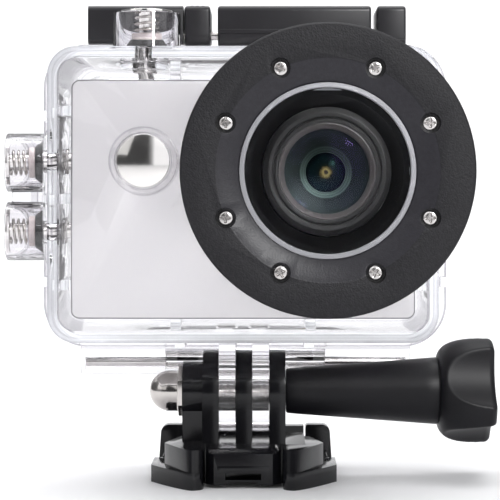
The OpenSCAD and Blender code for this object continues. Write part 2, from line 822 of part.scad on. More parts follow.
module button_seals() {
    color("#232325") {
        place_shutter() translate([0, 0, shutter_seat]) shaft_seal(seal_h);
        for (z = side_button_z) {
            place_side(z) translate([0, 0, seal_seat]) shaft_seal(seal_h);
        }
        place_power() translate([0, 0, seal_seat]) shaft_seal(power_seal_h);
    }
}

module button_washers() {
    color("#d8cfcd") {
        place_shutter() translate([0, 0, shutter_seat + seal_h]) shaft_washer();
        for (z = side_button_z) {
            place_side(z) translate([0, 0, seal_seat + seal_h]) shaft_washer();
        }
    }
}

module return_spring(base, top, turns) {
    translate([0, 0, base]) helix(turns, 2.35, top - base, spring_wire / 2);
}

module shutter_plunger() {
    color("#d0d0d2") place_shutter() plunger(shutter_cap_r, shutter_cap_top, shutter_tip);
}

module shutter_clip() {
    color("#8f8f94") place_shutter() shaft_clip(shutter_inner);
}

module shutter_spring() {
    color("#c4c0ba") place_shutter()
        return_spring(shutter_seat + seal_h + washer_h + seal_seat, shutter_cap_top - cap_t - seal_seat, 4);
}

module power_plunger() {
    color("#d0d0d2") place_power() plunger(power_cap_r, power_cap_top, power_tip);
}

module power_clip() {
    color("#8f8f94") place_power() shaft_clip(wall);
}

module power_spring() {
    color("#c4c0ba") place_power()
        return_spring(power_seal_h + 2 * seal_seat, power_cap_top - cap_t - seal_seat, 1);
}

module side_plunger(z) {
    color("#d0d0d2") place_side(z) plunger(side_cap_r, side_cap_top, side_tip);
}

module side_clip(z) {
    color("#8f8f94") place_side(z) shaft_clip(side_inner);
}

module side_spring(z) {
    color("#c4c0ba") place_side(z)
        return_spring(seal_h + washer_h + 2 * seal_seat, side_cap_top - cap_t - seal_seat, 4);
}

// ---- Camera ----

module camera_holes() {
    translate([shutter_x, button_y, camera_z1 - 3]) cylinder(r = camera_button_r + key_fit, h = 5);
    y_rod(camera_button_r + key_fit, camera_y0 - 1, camera_y0 + 3, power_x, power_z);
    for (z = side_button_z) {
        x_rod(side_key_r + key_fit, -camera_x - 1, -camera_x + 3, button_y, z);
    }
}

// Opening in the camera's right side, larger than a socket by a margin
module side_opening(y, z, margin) {
    block([camera_x - 2, y[0] - margin, z[0] - margin], [camera_x + 1, y[1] + margin, z[1] + margin]);
}

module camera_front_shell() {
    color("#dddce5") difference() {
        slab(camera_w, camera_z0, camera_z1, camera_y0, camera_split_y, camera_r);
        slab(camera_w - 2 * camera_wall, camera_z0 + camera_wall, camera_z1 - camera_wall,
            camera_y0 + camera_wall, camera_split_y + 1, 0.8);
        y_rod(barrel_r + 0.05, camera_y0 - 1, camera_y0 + 3, lens_x, lens_z);
        camera_holes();
        // Battery door opening and tripod insert in the underside
        block([hatch_x[0], hatch_y[0], camera_z0 - 1], [hatch_x[1], hatch_y[1], camera_z0 + 2]);
        translate([tripod_x, tripod_y, camera_z0 - 1]) cylinder(r = tripod_r + 0.1, h = 4);
        // Openings for the two sockets and the memory card in the right side
        side_opening(usb_y, usb_z, 0.1);
        side_opening(hdmi_y, hdmi_z, 0.1);
        side_opening(card_y, card_z, -0.2);
    }
}

module camera_rear_shell() {
    color("#c8c7d0") difference() {
        slab(camera_w, camera_z0, camera_z1, camera_split_y + 0.02, camera_y1, camera_r);
        slab(camera_w - 2 * camera_wall, camera_z0 + camera_wall, camera_z1 - camera_wall,
            camera_split_y - 1, camera_y1 - camera_wall, 0.8);
        slab(screen_w, screen_z[0], screen_z[1], camera_y1 - 2, camera_y1 + 1, 1);
        // Speaker holes
        for (i = [-2:2]) {
            y_rod(0.5, camera_y1 - 3, camera_y1 + 1, 4 * i, camera_z0 + 3);
        }
        at_case_screws() cylinder(r = 0.8, h = 4, center = true);
    }
}

// Puts its children, drawn along Z, at the four case screws, with their middle in the rear face
module at_case_screws() {
    for (s = [-1, 1]) {
        for (z = case_screw_z) {
            translate([s * case_screw_x, camera_y1 - 1, z]) rotate([90, 0, 0]) children();
        }
    }
}

module case_screws() {
    screw_l = 10.2;
    color("#77777c") at_case_screws() translate([0, 0, -0.7]) cylinder(r = 0.75, h = screw_l);
}

module lens_bezel() {
    color("#121214") difference() {
        y_rod(bezel_r, bezel_y0, camera_y0 - 0.01, lens_x, lens_z);
        y_rod(barrel_r + 0.05, camera_y0 - 3, camera_y0 + 1, lens_x, lens_z);
        // Flats along the top and on the right
        block([lens_x - 12, camera_y0 - 3, lens_z + 13.9], [lens_x + 12, camera_y0 + 1, lens_z + 16]);
        block([lens_x + 14.1, camera_y0 - 3, lens_z - 12], [lens_x + 16, camera_y0 + 1, lens_z + 12]);
    }
}

// Puts its children, drawn along +Z, on the lens axis, with +Z towards the subject
module on_lens_axis() {
    translate([lens_x, 0, lens_z]) rotate([90, 0, 0]) children();
}

// Barrel with a stepped bore, from its front rim to the sensor
module lens_barrel() {
    front = -barrel_y0;
    back = front - 14;
    shoulder = 12;
    tail_r = 9.5;
    groove = 0.35;
    seat_depth = 1.2;
    color("#1f1f22") on_lens_axis() difference() {
        rotate_extrude() polygon([
            [0, back], [tail_r, back], [tail_r, shoulder], [barrel_r, shoulder], [barrel_r, front - 0.6],
            [barrel_r - 0.9, front], [9.2, front], [9.1, front - groove], [8.9, front - groove],
            [8.8, front], [trim_r, front], [trim_r, front - seat_depth], [0, front - seat_depth]
        ]);
        translate([0, 0, glass_back - 0.2]) cylinder(r = glass_r + lens_fit, h = 6);
        translate([0, 0, inner_front - 0.3])
            cylinder(r1 = inner_r, r2 = glass_r - 0.7, h = glass_back - inner_front + 0.2);
        translate([0, 0, inner_back - lens_fit])
            cylinder(r = inner_r + lens_fit, h = inner_front - inner_back);
        translate([0, 0, back - 1]) cylinder(r = aperture_r, h = inner_back);
    }
}

module lens_retainer() {
    front = -barrel_y0;
    inner = glass_r + lens_fit;
    outer = trim_r - lens_fit;
    color("#6d6663") on_lens_axis() rotate_extrude() polygon([
        [inner, front - 1.15], [outer, front - 1.15], [outer, front - 0.1],
        [outer - 0.15, front - 0.05], [inner, front - 0.8]
    ]);
}

// Domed front element: a slice of a sphere
module front_glass() {
    dome_r = 20;
    color("#2a3a40", 0.5) on_lens_axis() intersection() {
        translate([0, 0, glass_front - dome_r]) sphere(dome_r, $fn = 96);
        translate([0, 0, glass_back]) cylinder(r = glass_r, h = glass_front);
    }
}

module inner_lens() {
    color("#10161c") on_lens_axis() translate([0, 0, inner_back])
        cylinder(r = inner_r, h = inner_front - inner_back);
}

module sensor_board() {
    half = [9, 8.5];
    y = -3.9;
    color("#1f5a35")
        block([lens_x - half[0], y, lens_z - half[1]], [lens_x + half[0], y + board_t, lens_z + half[1]]);
}

module main_board() {
    half_w = camera_x - camera_wall - 1.15;
    low = camera_z0 + camera_wall + 0.5;
    high = camera_z1 - camera_wall - 0.7;
    color("#1f5a35") difference() {
        block([-half_w, board_y, low], [half_w, board_y + board_t, high]);
        // Clearance over the battery's contacts
        block([-24.5, board_y - 1, low - 1], [-6, board_y + 2, low + 12.5]);
        at_case_screws() cylinder(r = 1.4, h = 12, center = true);
    }
}

module battery() {
    battery_h = 23.4;
    low = camera_z0 + 2.6;
    color("#4a6fa0")
        block([hatch_x[0] + 0.5, hatch_y[0] + 0.5, low], [-3, hatch_y[1] - 0.3, low + battery_h]);
}

// Door over the battery, with a shallow finger notch
module battery_door() {
    fit = 0.1;
    notch_x = (hatch_x[0] + hatch_x[1]) / 2;
    notch_y = (hatch_y[0] + hatch_y[1]) / 2;
    color("#d3d2db") difference() {
        block([hatch_x[0] + fit, hatch_y[0] + fit, camera_z0 + fit],
            [hatch_x[1] - fit, hatch_y[1] - fit, camera_z0 + camera_wall]);
        block([notch_x - 1, notch_y - 0.7, camera_z0], [notch_x + 1, notch_y + 0.7, camera_z0 + 0.6]);
    }
}

module lcd_screen() {
    margin = [2, 1.5];
    color("#17181c") block([-screen_w / 2 + margin[0], camera_y1 - 3.9, screen_z[0] + margin[1]],
        [screen_w / 2 - margin[0], camera_y1 - 1.6, screen_z[1] - margin[1]]);
}

module screen_glass() {
    fit = 0.05;
    color("#0b0c0f", 0.8) slab(screen_w - 2 * fit, screen_z[0] + fit, screen_z[1] - fit,
        camera_y1 - 1.4, camera_y1 - fit, 1 - fit);
}

module memory_card() {
    card = [10.8, 0.9, 11];
    color("#202024") translate([camera_x - 13, card_y[0] + 0.5, card_z[0] + 1.2]) cube(card);
}

module card_slot() {
    sheet = 0.3;
    color("#b4b4b8") difference() {
        block([camera_x - 14.5, card_y[0], card_z[0]], [camera_x - 1.8, card_y[1], card_z[1]]);
        block([camera_x - 13.2, card_y[0] + sheet, card_z[0] + 1],
            [camera_x - 1, card_y[1] - sheet, card_z[1] - 2]);
    }
}

// Metal socket shell with a contact tongue, open towards +X
module socket(y, z) {
    depth = 5;
    sheet = 0.4;
    middle = (y[0] + y[1]) / 2;
    color("#b9b9bd") {
        difference() {
            block([camera_x - depth, y[0], z[0]], [camera_x - 0.6, y[1], z[1]]);
            block([camera_x - depth + 1, y[0] + sheet, z[0] + sheet], [camera_x, y[1] - sheet, z[1] - sheet]);
        }
        block([camera_x - depth + 0.9, middle - 0.3, z[0] + 1.4], [camera_x - 1.6, middle + 0.3, z[1] - 1.4]);
    }
}

module usb_port() {
    socket(usb_y, usb_z);
}

module hdmi_port() {
    socket(hdmi_y, hdmi_z);
}

module speaker() {
    color("#28282b") y_rod(2.8, camera_y1 - 4.3, camera_y1 - 1.6, 0, camera_z0 + 4.7);
}

module microphone() {
    color("#a8a8ad") y_rod(2, camera_y0 + 2, camera_y0 + 4, -24, camera_z1 - 4.7);
}

// Brass insert with a quarter-inch tripod hole
module tripod_insert() {
    tripod_hole_r = 3.175;
    insert_h = 5.5;
    color("#c2a15a") translate([tripod_x, tripod_y, camera_z0]) difference() {
        translate([0, 0, 0.05]) cylinder(r = tripod_r, h = insert_h);
        translate([0, 0, -1]) cylinder(r = tripod_hole_r, h = insert_h);
    }
}

// Button with a collar inside the case; the face is at +Z
module camera_key(r) {
    translate([0, 0, -3]) cylinder(r = r, h = 3 + camera_button_rise);
}

module camera_shutter_button() {
    color("#b8b8bd") translate([shutter_x, button_y, camera_z1]) camera_key(camera_button_r);
}

module camera_power_button() {
    color("#b8b8bd") translate([power_x, camera_y0, power_z]) rotate([90, 0, 0]) camera_key(camera_button_r);
}

module camera_side_button(z) {
    color("#b8b8bd") translate([-camera_x, button_y, z]) rotate([0, -90, 0]) camera_key(side_key_r);
}

buckle_base();
buckle_clip_left();
buckle_clip_right();
cap_nut();
thumbscrew_knob();
thumbscrew_bolt();
housing_front();
lens_ring();
lens_window();
window_seal();
ring_screws();
housing_door();
door_seal();
door_hinge_pin();
latch_anchor_left();
latch_anchor_right();
latch_pin();
latch_lever();
latch_lock();
button_seals();
button_washers();
shutter_plunger();
shutter_spring();
shutter_clip();
power_plunger();
power_spring();
power_clip();
side_plunger(side_button_z[0]);  // up_plunger
side_spring(side_button_z[0]);  // up_spring
side_clip(side_button_z[0]);  // up_clip
side_plunger(side_button_z[1]);  // down_plunger
side_spring(side_button_z[1]);  // down_spring
side_clip(side_button_z[1]);  // down_clip
camera_front_shell();
camera_rear_shell();
lens_bezel();
lens_barrel();
lens_retainer();
front_glass();
inner_lens();
sensor_board();
main_board();
battery();
battery_door();
lcd_screen();
screen_glass();
memory_card();
card_slot();
usb_port();
hdmi_port();
speaker();
microphone();
tripod_insert();
case_screws();
camera_shutter_button();
camera_power_button();
camera_side_button(side_button_z[0]);  // camera_up_button
camera_side_button(side_button_z[1]);  // camera_down_button
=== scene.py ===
"""Looks of the action camera in its clear dive housing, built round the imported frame. Metres, Z up."""

import json
import math

import bpy
import bmesh
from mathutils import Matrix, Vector


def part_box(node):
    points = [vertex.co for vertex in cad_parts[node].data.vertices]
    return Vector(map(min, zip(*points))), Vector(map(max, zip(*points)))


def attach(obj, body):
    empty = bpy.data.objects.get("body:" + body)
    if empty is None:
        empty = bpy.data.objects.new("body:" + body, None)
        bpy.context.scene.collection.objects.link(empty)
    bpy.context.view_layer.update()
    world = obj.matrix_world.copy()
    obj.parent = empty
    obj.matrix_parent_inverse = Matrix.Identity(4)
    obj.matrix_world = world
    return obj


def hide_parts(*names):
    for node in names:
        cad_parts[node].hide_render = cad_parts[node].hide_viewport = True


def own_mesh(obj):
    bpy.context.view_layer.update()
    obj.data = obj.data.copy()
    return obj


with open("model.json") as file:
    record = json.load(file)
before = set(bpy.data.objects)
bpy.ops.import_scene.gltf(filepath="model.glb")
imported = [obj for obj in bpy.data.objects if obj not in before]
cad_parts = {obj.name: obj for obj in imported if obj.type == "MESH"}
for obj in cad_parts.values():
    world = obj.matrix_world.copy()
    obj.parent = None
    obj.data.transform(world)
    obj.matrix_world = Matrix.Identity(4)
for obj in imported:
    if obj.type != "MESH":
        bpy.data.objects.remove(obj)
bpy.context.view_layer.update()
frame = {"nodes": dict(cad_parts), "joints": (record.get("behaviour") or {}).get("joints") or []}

MM = 0.001
TAU = 2 * math.pi
JOINTS = {joint["name"]: joint for joint in frame["joints"]}
PIVOT = Vector(JOINTS["mount_pivot"]["pos_m"])


# ---- Places read from the frame ----

def centre(node):
    """Middle of a CAD node's box at rest."""
    low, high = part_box(node)
    return (low + high) / 2


def reach(node, direction):
    """Nearest and farthest distance of a CAD node's box along an axis direction, from the origin."""
    low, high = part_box(node)
    ends = sorted((Vector(low).dot(direction), Vector(high).dot(direction)))
    return ends[0], ends[1]


LENS = centre("lens_barrel")
FRONT = Vector((0, -1, 0))


# ---- Material tools ----

def new_material(name, roughness, **sockets):
    """A Principled material with plain socket values; returns it, its nodes and its links."""
    material = bpy.data.materials.new(name)
    material.use_nodes = True
    nodes = material.node_tree.nodes
    shader = nodes["Principled BSDF"]
    shader.inputs["Roughness"].default_value = roughness
    for socket, value in sockets.items():
        shader.inputs[socket.replace("_", " ")].default_value = value
    return material, nodes, material.node_tree.links


def object_coords(nodes):
    """Object-space coordinates, which are metres in the frame."""
    return nodes.new("ShaderNodeTexCoord").outputs["Object"]


def add_noise(nodes, links, scale, detail=4.0):
    """A noise texture in object space; scale is in features per metre."""
    noise = nodes.new("ShaderNodeTexNoise")
    noise.inputs["Scale"].default_value = scale
    noise.inputs["Detail"].default_value = detail
    links.new(object_coords(nodes), noise.inputs["Vector"])
    return noise.outputs["Fac"]


def stepped_ramp(nodes, links, factor, stops):
    """A colour ramp through stops of a position and a colour."""
    ramp = nodes.new("ShaderNodeValToRGB")
    elements = ramp.color_ramp.elements
    for element, (position, colour) in ((elements[0], stops[0]), (elements[1], stops[-1])):
        element.position = position
        element.color = (*colour, 1)
    for position, colour in stops[1:-1]:
        elements.new(position).color = (*colour, 1)
    links.new(factor, ramp.inputs["Fac"])
    return ramp.outputs["Color"]


def ramp_between(nodes, links, factor, low, high, start=0.3, end=0.7):
    """A colour ramp from a low to a high colour."""
    return stepped_ramp(nodes, links, factor, ((start, low), (end, high)))


def map_range(nodes, links, value, low, high, start=0.0, end=1.0):
    """Value from start..end to low..high."""
    mapped = nodes.new("ShaderNodeMapRange")
    mapped.inputs["From Min"].default_value = start
    mapped.inputs["From Max"].default_value = end
    mapped.inputs["To Min"].default_value = low
    mapped.inputs["To Max"].default_value = high
    links.new(value, mapped.inputs["Value"])
    return mapped.outputs["Result"]


def rising(nodes, links, value, start, end):
    """0 up to start, 1 from end on."""
    return map_range(nodes, links, value, 0.0, 1.0, start, end)


def falling(nodes, links, value, start, end):
    """1 up to start, 0 from end on."""
    return map_range(nodes, links, value, 1.0, 0.0, start, end)


def math_node(nodes, links, operation, *values):
    """A Math node; inputs are sockets or numbers."""
    node = nodes.new("ShaderNodeMath")
    node.operation = operation
    for socket, value in zip(node.inputs, values):
        if isinstance(value, (int, float)):
            socket.default_value = value
        else:
            links.new(value, socket)
    return node.outputs["Value"]


def product(nodes, links, first, *others):
    """All the values multiplied together."""
    for other in others:
        first = math_node(nodes, links, "MULTIPLY", first, other)
    return first


def mix_colours(nodes, links, factor, first, second, blend="MIX"):
    """Two colours mixed by a factor; each input is a socket or plain values."""
    mix = nodes.new("ShaderNodeMix")
    mix.data_type = "RGBA"
    mix.blend_type = blend
    for name, value in (("Factor", factor), ("A", first), ("B", second)):
        if isinstance(value, bpy.types.NodeSocket):
            links.new(value, mix.inputs[name])
        else:
            mix.inputs[name].default_value = value
    return mix.outputs["Result"]


def object_axes(nodes, links):
    """Object-space X, Y and Z in metres, as three sockets."""
    split = nodes.new("ShaderNodeSeparateXYZ")
    links.new(object_coords(nodes), split.inputs["Vector"])
    return split.outputs["X"], split.outputs["Y"], split.outputs["Z"]


def radius_from(nodes, links, middle):
    """Distance in millimetres from an axis along Y through a point, as a socket."""
    shift = nodes.new("ShaderNodeVectorMath")
    shift.operation = "SUBTRACT"
    shift.inputs[1].default_value = (middle.x, 0, middle.z)
    links.new(object_coords(nodes), shift.inputs[0])
    flatten = nodes.new("ShaderNodeVectorMath")
    flatten.operation = "MULTIPLY"
    flatten.inputs[1].default_value = (1 / MM, 0, 1 / MM)
    links.new(shift.outputs["Vector"], flatten.inputs[0])
    length = nodes.new("ShaderNodeVectorMath")
    length.operation = "LENGTH"
    links.new(flatten.outputs["Vector"], length.inputs[0])
    return length.outputs["Value"]


def add_bump(nodes, links, height, distance, strength=1.0):
    """A bump on the shader; distance is the height of the relief in metres."""
    bump = nodes.new("ShaderNodeBump")
    bump.inputs["Strength"].default_value = strength
    bump.inputs["Distance"].default_value = distance
    links.new(height, bump.inputs["Height"])
    links.new(bump.outputs["Normal"], nodes["Principled BSDF"].inputs["Normal"])


def moulded_plastic(name, dark, light, roughness, grain, relief, specular):
    """Moulded plastic: fine grain in the relief, slow variation in colour and gloss."""
    material, nodes, links = new_material(name, roughness, Specular_IOR_Level=specular)
    shader = nodes["Principled BSDF"]
    slow = add_noise(nodes, links, 90)
    fine = add_noise(nodes, links, grain, 3)
    links.new(ramp_between(nodes, links, slow, dark, light), shader.inputs["Base Color"])
    links.new(map_range(nodes, links, slow, roughness - 0.05, roughness + 0.05), shader.inputs["Roughness"])
    add_bump(nodes, links, fine, relief)
    return material


def metal(name, low, high, roughness, scratch, relief):
    """Metal with fine handling marks in its gloss and relief."""
    material, nodes, links = new_material(name, roughness, Metallic=1.0)
    shader = nodes["Principled BSDF"]
    slow = add_noise(nodes, links, 150)
    fine = add_noise(nodes, links, scratch, 6)
    links.new(ramp_between(nodes, links, slow, low, high), shader.inputs["Base Color"])
    links.new(map_range(nodes, links, fine, roughness * 0.6, roughness * 1.4), shader.inputs["Roughness"])
    add_bump(nodes, links, fine, relief)
    return material


def let_lamps_through(nodes, links, tint):
    """Lets the light of the lamps pass the clear surface on its way to what is behind it."""
    mix = nodes.new("ShaderNodeMixShader")
    through = nodes.new("ShaderNodeBsdfTransparent")
    through.inputs["Color"].default_value = (*tint, 1)
    links.new(nodes.new("ShaderNodeLightPath").outputs["Is Shadow Ray"], mix.inputs["Fac"])
    links.new(nodes["Principled BSDF"].outputs["BSDF"], mix.inputs[1])
    links.new(through.outputs["BSDF"], mix.inputs[2])
    links.new(mix.outputs["Shader"], nodes["Material Output"].inputs["Surface"])


def clear_plastic(name, tint, ior, waviness, **sockets):
    """Clear moulded plastic with faint flow marks in its colour and surface."""
    material, nodes, links = new_material(name, 0.0, Transmission_Weight=1.0, IOR=ior, **sockets)
    let_lamps_through(nodes, links, tint)
    shader = nodes["Principled BSDF"]
    slow = add_noise(nodes, links, 60, 2)
    pale = tuple(min(1.0, c + 0.01) for c in tint)
    links.new(ramp_between(nodes, links, slow, tint, pale), shader.inputs["Base Color"])
    add_bump(nodes, links, slow, waviness)
    return material


def facing_along_y(nodes, links):
    """How squarely a face looks along the object's Y: 0 on a side wall, 1 on a front or back face."""
    turn = nodes.new("ShaderNodeVectorTransform")
    turn.vector_type = "NORMAL"
    turn.convert_from = "WORLD"
    turn.convert_to = "OBJECT"
    links.new(nodes.new("ShaderNodeNewGeometry").outputs["True Normal"], turn.inputs["Vector"])
    split = nodes.new("ShaderNodeSeparateXYZ")
    links.new(turn.outputs["Vector"], split.inputs["Vector"])
    return math_node(nodes, links, "ABSOLUTE", split.outputs["Y"])


def edge_painted_shade(nodes, links, colour, dark):
    """Painted shade: darkens a colour on the rounded edges between faces across Y and the walls beside them.
    """
    across = facing_along_y(nodes, links)
    edge = product(nodes, links, rising(nodes, links, across, 0.08, 0.2),
                   falling(nodes, links, across, 0.95, 0.99))
    return mix_colours(nodes, links, edge, colour, (*dark, 1))


def outline_depth(nodes, links, x, z, half_x, half_z, middle_z, corner):
    """Millimetres inside a rounded rectangle across Y, as a socket; negative outside it."""
    side = math_node(nodes, links, "SUBTRACT", math_node(nodes, links, "ABSOLUTE", x), half_x - corner)
    rise = math_node(nodes, links, "ABSOLUTE", math_node(nodes, links, "SUBTRACT", z, middle_z))
    rise = math_node(nodes, links, "SUBTRACT", rise, half_z - corner)
    side_out = math_node(nodes, links, "MAXIMUM", side, 0.0)
    rise_out = math_node(nodes, links, "MAXIMUM", rise, 0.0)
    square = math_node(nodes, links, "ADD", product(nodes, links, side_out, side_out),
                       product(nodes, links, rise_out, rise_out))
    inner = math_node(nodes, links, "MINIMUM", math_node(nodes, links, "MAXIMUM", side, rise), 0.0)
    outside = math_node(nodes, links, "ADD", math_node(nodes, links, "SQRT", square), inner)
    return math_node(nodes, links, "SUBTRACT", corner, outside)


def band(nodes, links, value, low, high, blur=0.06):
    """1 where a value lies between two limits, fading over a short blur."""
    return product(nodes, links, rising(nodes, links, value, low - blur, low + blur),
                   falling(nodes, links, value, high - blur, high + blur))


def contour_painted_shade(nodes, links, colour, dark, outlines, facing, rings=()):
    """Painted shade: darkens a colour in thin lines that follow rounded outlines, on the faces that look
    along Y.
    """
    flat = rising(nodes, links, facing_along_y(nodes, links), facing, facing + 0.05)
    x, _, z = (math_node(nodes, links, "MULTIPLY", axis, 1 / MM) for axis in object_axes(nodes, links))
    lines = 0.0
    for half_x, low_z, high_z, corner, bands in outlines:
        middle_z = PIVOT.z / MM + (low_z + high_z) / 2
        depth = outline_depth(nodes, links, x, z, half_x, (high_z - low_z) / 2, middle_z, corner)
        for near, far in bands:
            lines = math_node(nodes, links, "MAXIMUM", lines, band(nodes, links, depth, near, far))
    guard = radius_from(nodes, links, centre("power_plunger"))
    for near, far in rings:
        lines = math_node(nodes, links, "MAXIMUM", lines, band(nodes, links, guard, near, far))
    return mix_colours(nodes, links, product(nodes, links, flat, lines), colour, (*dark, 1))


# Outlines across Y for the thin lines of painted shade: half width, bottom and top from the pivot, corner
# radius, and the depths of the lines inside them, in millimetres. The rim and the box of the housing come
# first, then the camera's face.
HOUSING_SHADE_LINES = (
    (37.3, 7.5, 63.5, 8.0, ((-1.0, 0.3), (1.5, 1.75))),
    (33.5, 10.0, 60.8, 5.0, ((-0.1, 0.3), (0.75, 1.0), (1.7, 2.0))),
)
CAMERA_SHADE_LINES = ((29.65, 14.0, 55.2, 1.5, ((-1.0, 0.24),)),)

# Radii in millimetres of the painted shade lines round the front button's guard, of the lip round the window
# and of the ring's dish
GUARD_SHADE_RINGS = ((4.75, 5.0), (5.5, 5.9))
LIP_R = 15.0
DISH_R = 18.7


def housing_plastic():
    """The clear housing's plastic, with a frosted end on the lip round the window, and painted shade on its
    rounded edges and in thin lines along its outlines.
    """
    material = clear_plastic("clear_polycarbonate", (0.978, 0.976, 0.984), 1.5, 0.00003)
    nodes = material.node_tree.nodes
    links = material.node_tree.links
    shader = nodes["Principled BSDF"]
    _, y, _ = object_axes(nodes, links)
    pocket_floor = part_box("window_seal")[1].y
    frost = product(nodes, links,
                    falling(nodes, links, y, pocket_floor + 0.06 * MM, pocket_floor + 0.12 * MM),
                    falling(nodes, links, radius_from(nodes, links, LENS), LIP_R - 0.1, LIP_R + 0.1))
    links.new(map_range(nodes, links, frost, 1.0, 0.35), shader.inputs["Transmission Weight"])
    links.new(map_range(nodes, links, frost, 0.0, 0.35), shader.inputs["Roughness"])
    colour = shader.inputs["Base Color"].links[0].from_socket
    # Painted shade: darker rounded edges and thin dark lines along the rim, the box and the front button's
    # guard, in place of the dark lines that refraction draws in clear plastic
    colour = edge_painted_shade(nodes, links, colour, (0.88, 0.87, 0.89))
    colour = contour_painted_shade(nodes, links, colour, (0.7, 0.69, 0.72), HOUSING_SHADE_LINES, 0.9, GUARD_SHADE_RINGS)
    links.new(mix_colours(nodes, links, frost, colour, (0.5, 0.5, 0.53, 1)), shader.inputs["Base Color"])
    return material


def ring_plastic():
    """Black ring: spark-eroded grain outside, and a smoother, slightly lighter dish round the window."""
    material, nodes, links = new_material("ring_plastic", 0.5, Specular_IOR_Level=0.28)
    shader = nodes["Principled BSDF"]
    outside = rising(nodes, links, radius_from(nodes, links, LENS), DISH_R - 0.1, DISH_R + 0.1)
    fine = add_noise(nodes, links, 3600, 2)
    speckle = add_noise(nodes, links, 1500, 5)
    add_bump(nodes, links, product(nodes, links, fine, map_range(nodes, links, outside, 0.35, 1.0)), 0.00009)
    tone = math_node(nodes, links, "MULTIPLY_ADD", speckle, 0.5, map_range(nodes, links, outside, 0.35, 0.0))
    links.new(ramp_between(nodes, links, tone, (0.0072, 0.0068, 0.0088), (0.03, 0.0285, 0.0355), 0.15, 0.75),
              shader.inputs["Base Color"])
    links.new(map_range(nodes, links, outside, 0.38, 0.56), shader.inputs["Roughness"])
    return material


def barrel_black():
    """Black lens barrel; its baffles are a dark teal, and lighter round the deep element. Painted light makes
    it lighter towards the bottom, darker towards the top and banded across the baffle steps.
    """
    material, nodes, links = new_material("barrel_black", 0.45, Specular_IOR_Level=0.3)
    radius = radius_from(nodes, links, LENS)
    wobble = math_node(nodes, links, "MULTIPLY_ADD", add_noise(nodes, links, 2500, 2), 0.12, radius)
    black = (0.0095, 0.0088, 0.0105)
    stops = ((0.0, (0.13, 0.145, 0.135)), (0.17, (0.15, 0.17, 0.16)), (0.2, (0.009, 0.0115, 0.0125)),
             (0.62, (0.014, 0.019, 0.022)), (0.67, black), (1.0, (0.009, 0.0088, 0.0095)))
    colour = stepped_ramp(nodes, links, rising(nodes, links, wobble, 3.2, 9.0), stops)
    _, _, z = object_axes(nodes, links)
    # Painted light and shade: lighter towards the bottom, darker towards the top, and light and dark bands
    # across the baffle steps
    painted_bottom_light = map_range(nodes, links, z, 1.0, 0.3, LENS.z - 3 * MM, LENS.z + 3 * MM)
    steps = math_node(nodes, links, "SINE", product(nodes, links, radius, 16.0))
    shade = product(nodes, links, painted_bottom_light, map_range(nodes, links, steps, 0.6, 1.15, -1.0, 1.0))
    colour = mix_colours(nodes, links, 1.0, colour, shade, "MULTIPLY")
    links.new(colour, nodes["Principled BSDF"].inputs["Base Color"])
    rings = math_node(nodes, links, "SINE", product(nodes, links, radius, 38.0))
    add_bump(nodes, links, rings, 0.000004)
    return material


def inner_lens_glass():
    """Deep lens element: black at its rim, with painted reflections of its coating in its middle: a warm
    amber spot and a warm ring round it.
    """
    material, nodes, links = new_material(
        "inner_lens_glass", 0.08, IOR=1.3, Specular_Tint=(0.25, 0.6, 0.5, 1))
    radius = radius_from(nodes, links, LENS)
    painted_glint_radius = math_node(nodes, links, "MULTIPLY_ADD", add_noise(nodes, links, 1400, 2), 0.7, radius)
    # Painted reflections: the amber middle and the amber ring round it stand in for the coating's
    # reflections; the rest is the dark glass
    stops = ((0.0, (0.55, 0.3, 0.1)), (0.06, (0.06, 0.03, 0.03)), (0.13, (0.06, 0.035, 0.04)),
             (0.2, (0.5, 0.3, 0.13)), (0.3, (0.14, 0.075, 0.03)), (0.38, (0.012, 0.012, 0.01)),
             (0.6, (0.004, 0.008, 0.01)), (0.8, (0.006, 0.014, 0.016)), (1.0, (0.002, 0.004, 0.005)))
    links.new(stepped_ramp(nodes, links, rising(nodes, links, painted_glint_radius, 0.2, 3.5), stops),
              nodes["Principled BSDF"].inputs["Base Color"])
    return material


def front_lens_glass():
    """Front lens element with a coating that gives violet reflections."""
    material, nodes, links = new_material(
        "front_lens_glass", 0.0, Transmission_Weight=1.0, IOR=1.2, Specular_Tint=(0.55, 0.33, 1.0, 1))
    let_lamps_through(nodes, links, (0.5, 0.62, 0.66))
    slow = add_noise(nodes, links, 200, 2)
    links.new(ramp_between(nodes, links, slow, (0.58, 0.69, 0.67), (0.61, 0.72, 0.7)),
              nodes["Principled BSDF"].inputs["Base Color"])
    return material


def silver_paint():
    """Pale silver paint with a fine metallic flake, and painted shade in a dark line round the edge of the
    camera's face.
    """
    material, nodes, links = new_material(
        "silver_shell", 0.42, Metallic=0.15, Coat_Weight=0.12, Coat_Roughness=0.2)
    shader = nodes["Principled BSDF"]
    flake = add_noise(nodes, links, 7000, 2)
    paint = ramp_between(nodes, links, flake, (0.58, 0.567, 0.58), (0.645, 0.632, 0.645))
    # Painted shade: a dark line round the edge of the face, where the shadow gap beside the housing's wall
    # falls
    paint = contour_painted_shade(nodes, links, paint, (0.16, 0.155, 0.165), CAMERA_SHADE_LINES, 0.2)
    links.new(paint, shader.inputs["Base Color"])
    links.new(map_range(nodes, links, flake, 0.34, 0.5), shader.inputs["Roughness"])
    add_bump(nodes, links, flake, 0.000002)
    return material


MATERIALS = {
    "clear": housing_plastic(),
    "window": clear_plastic("window_glass", (0.97, 0.98, 0.985), 1.4, 0.000001,
                            Specular_Tint=(0.02, 0.02, 0.03, 1)),
    "ring": ring_plastic(),
    "silver": silver_paint(),
    "barrel": barrel_black(),
    "front_glass": front_lens_glass(),
    "inner_glass": inner_lens_glass(),
}

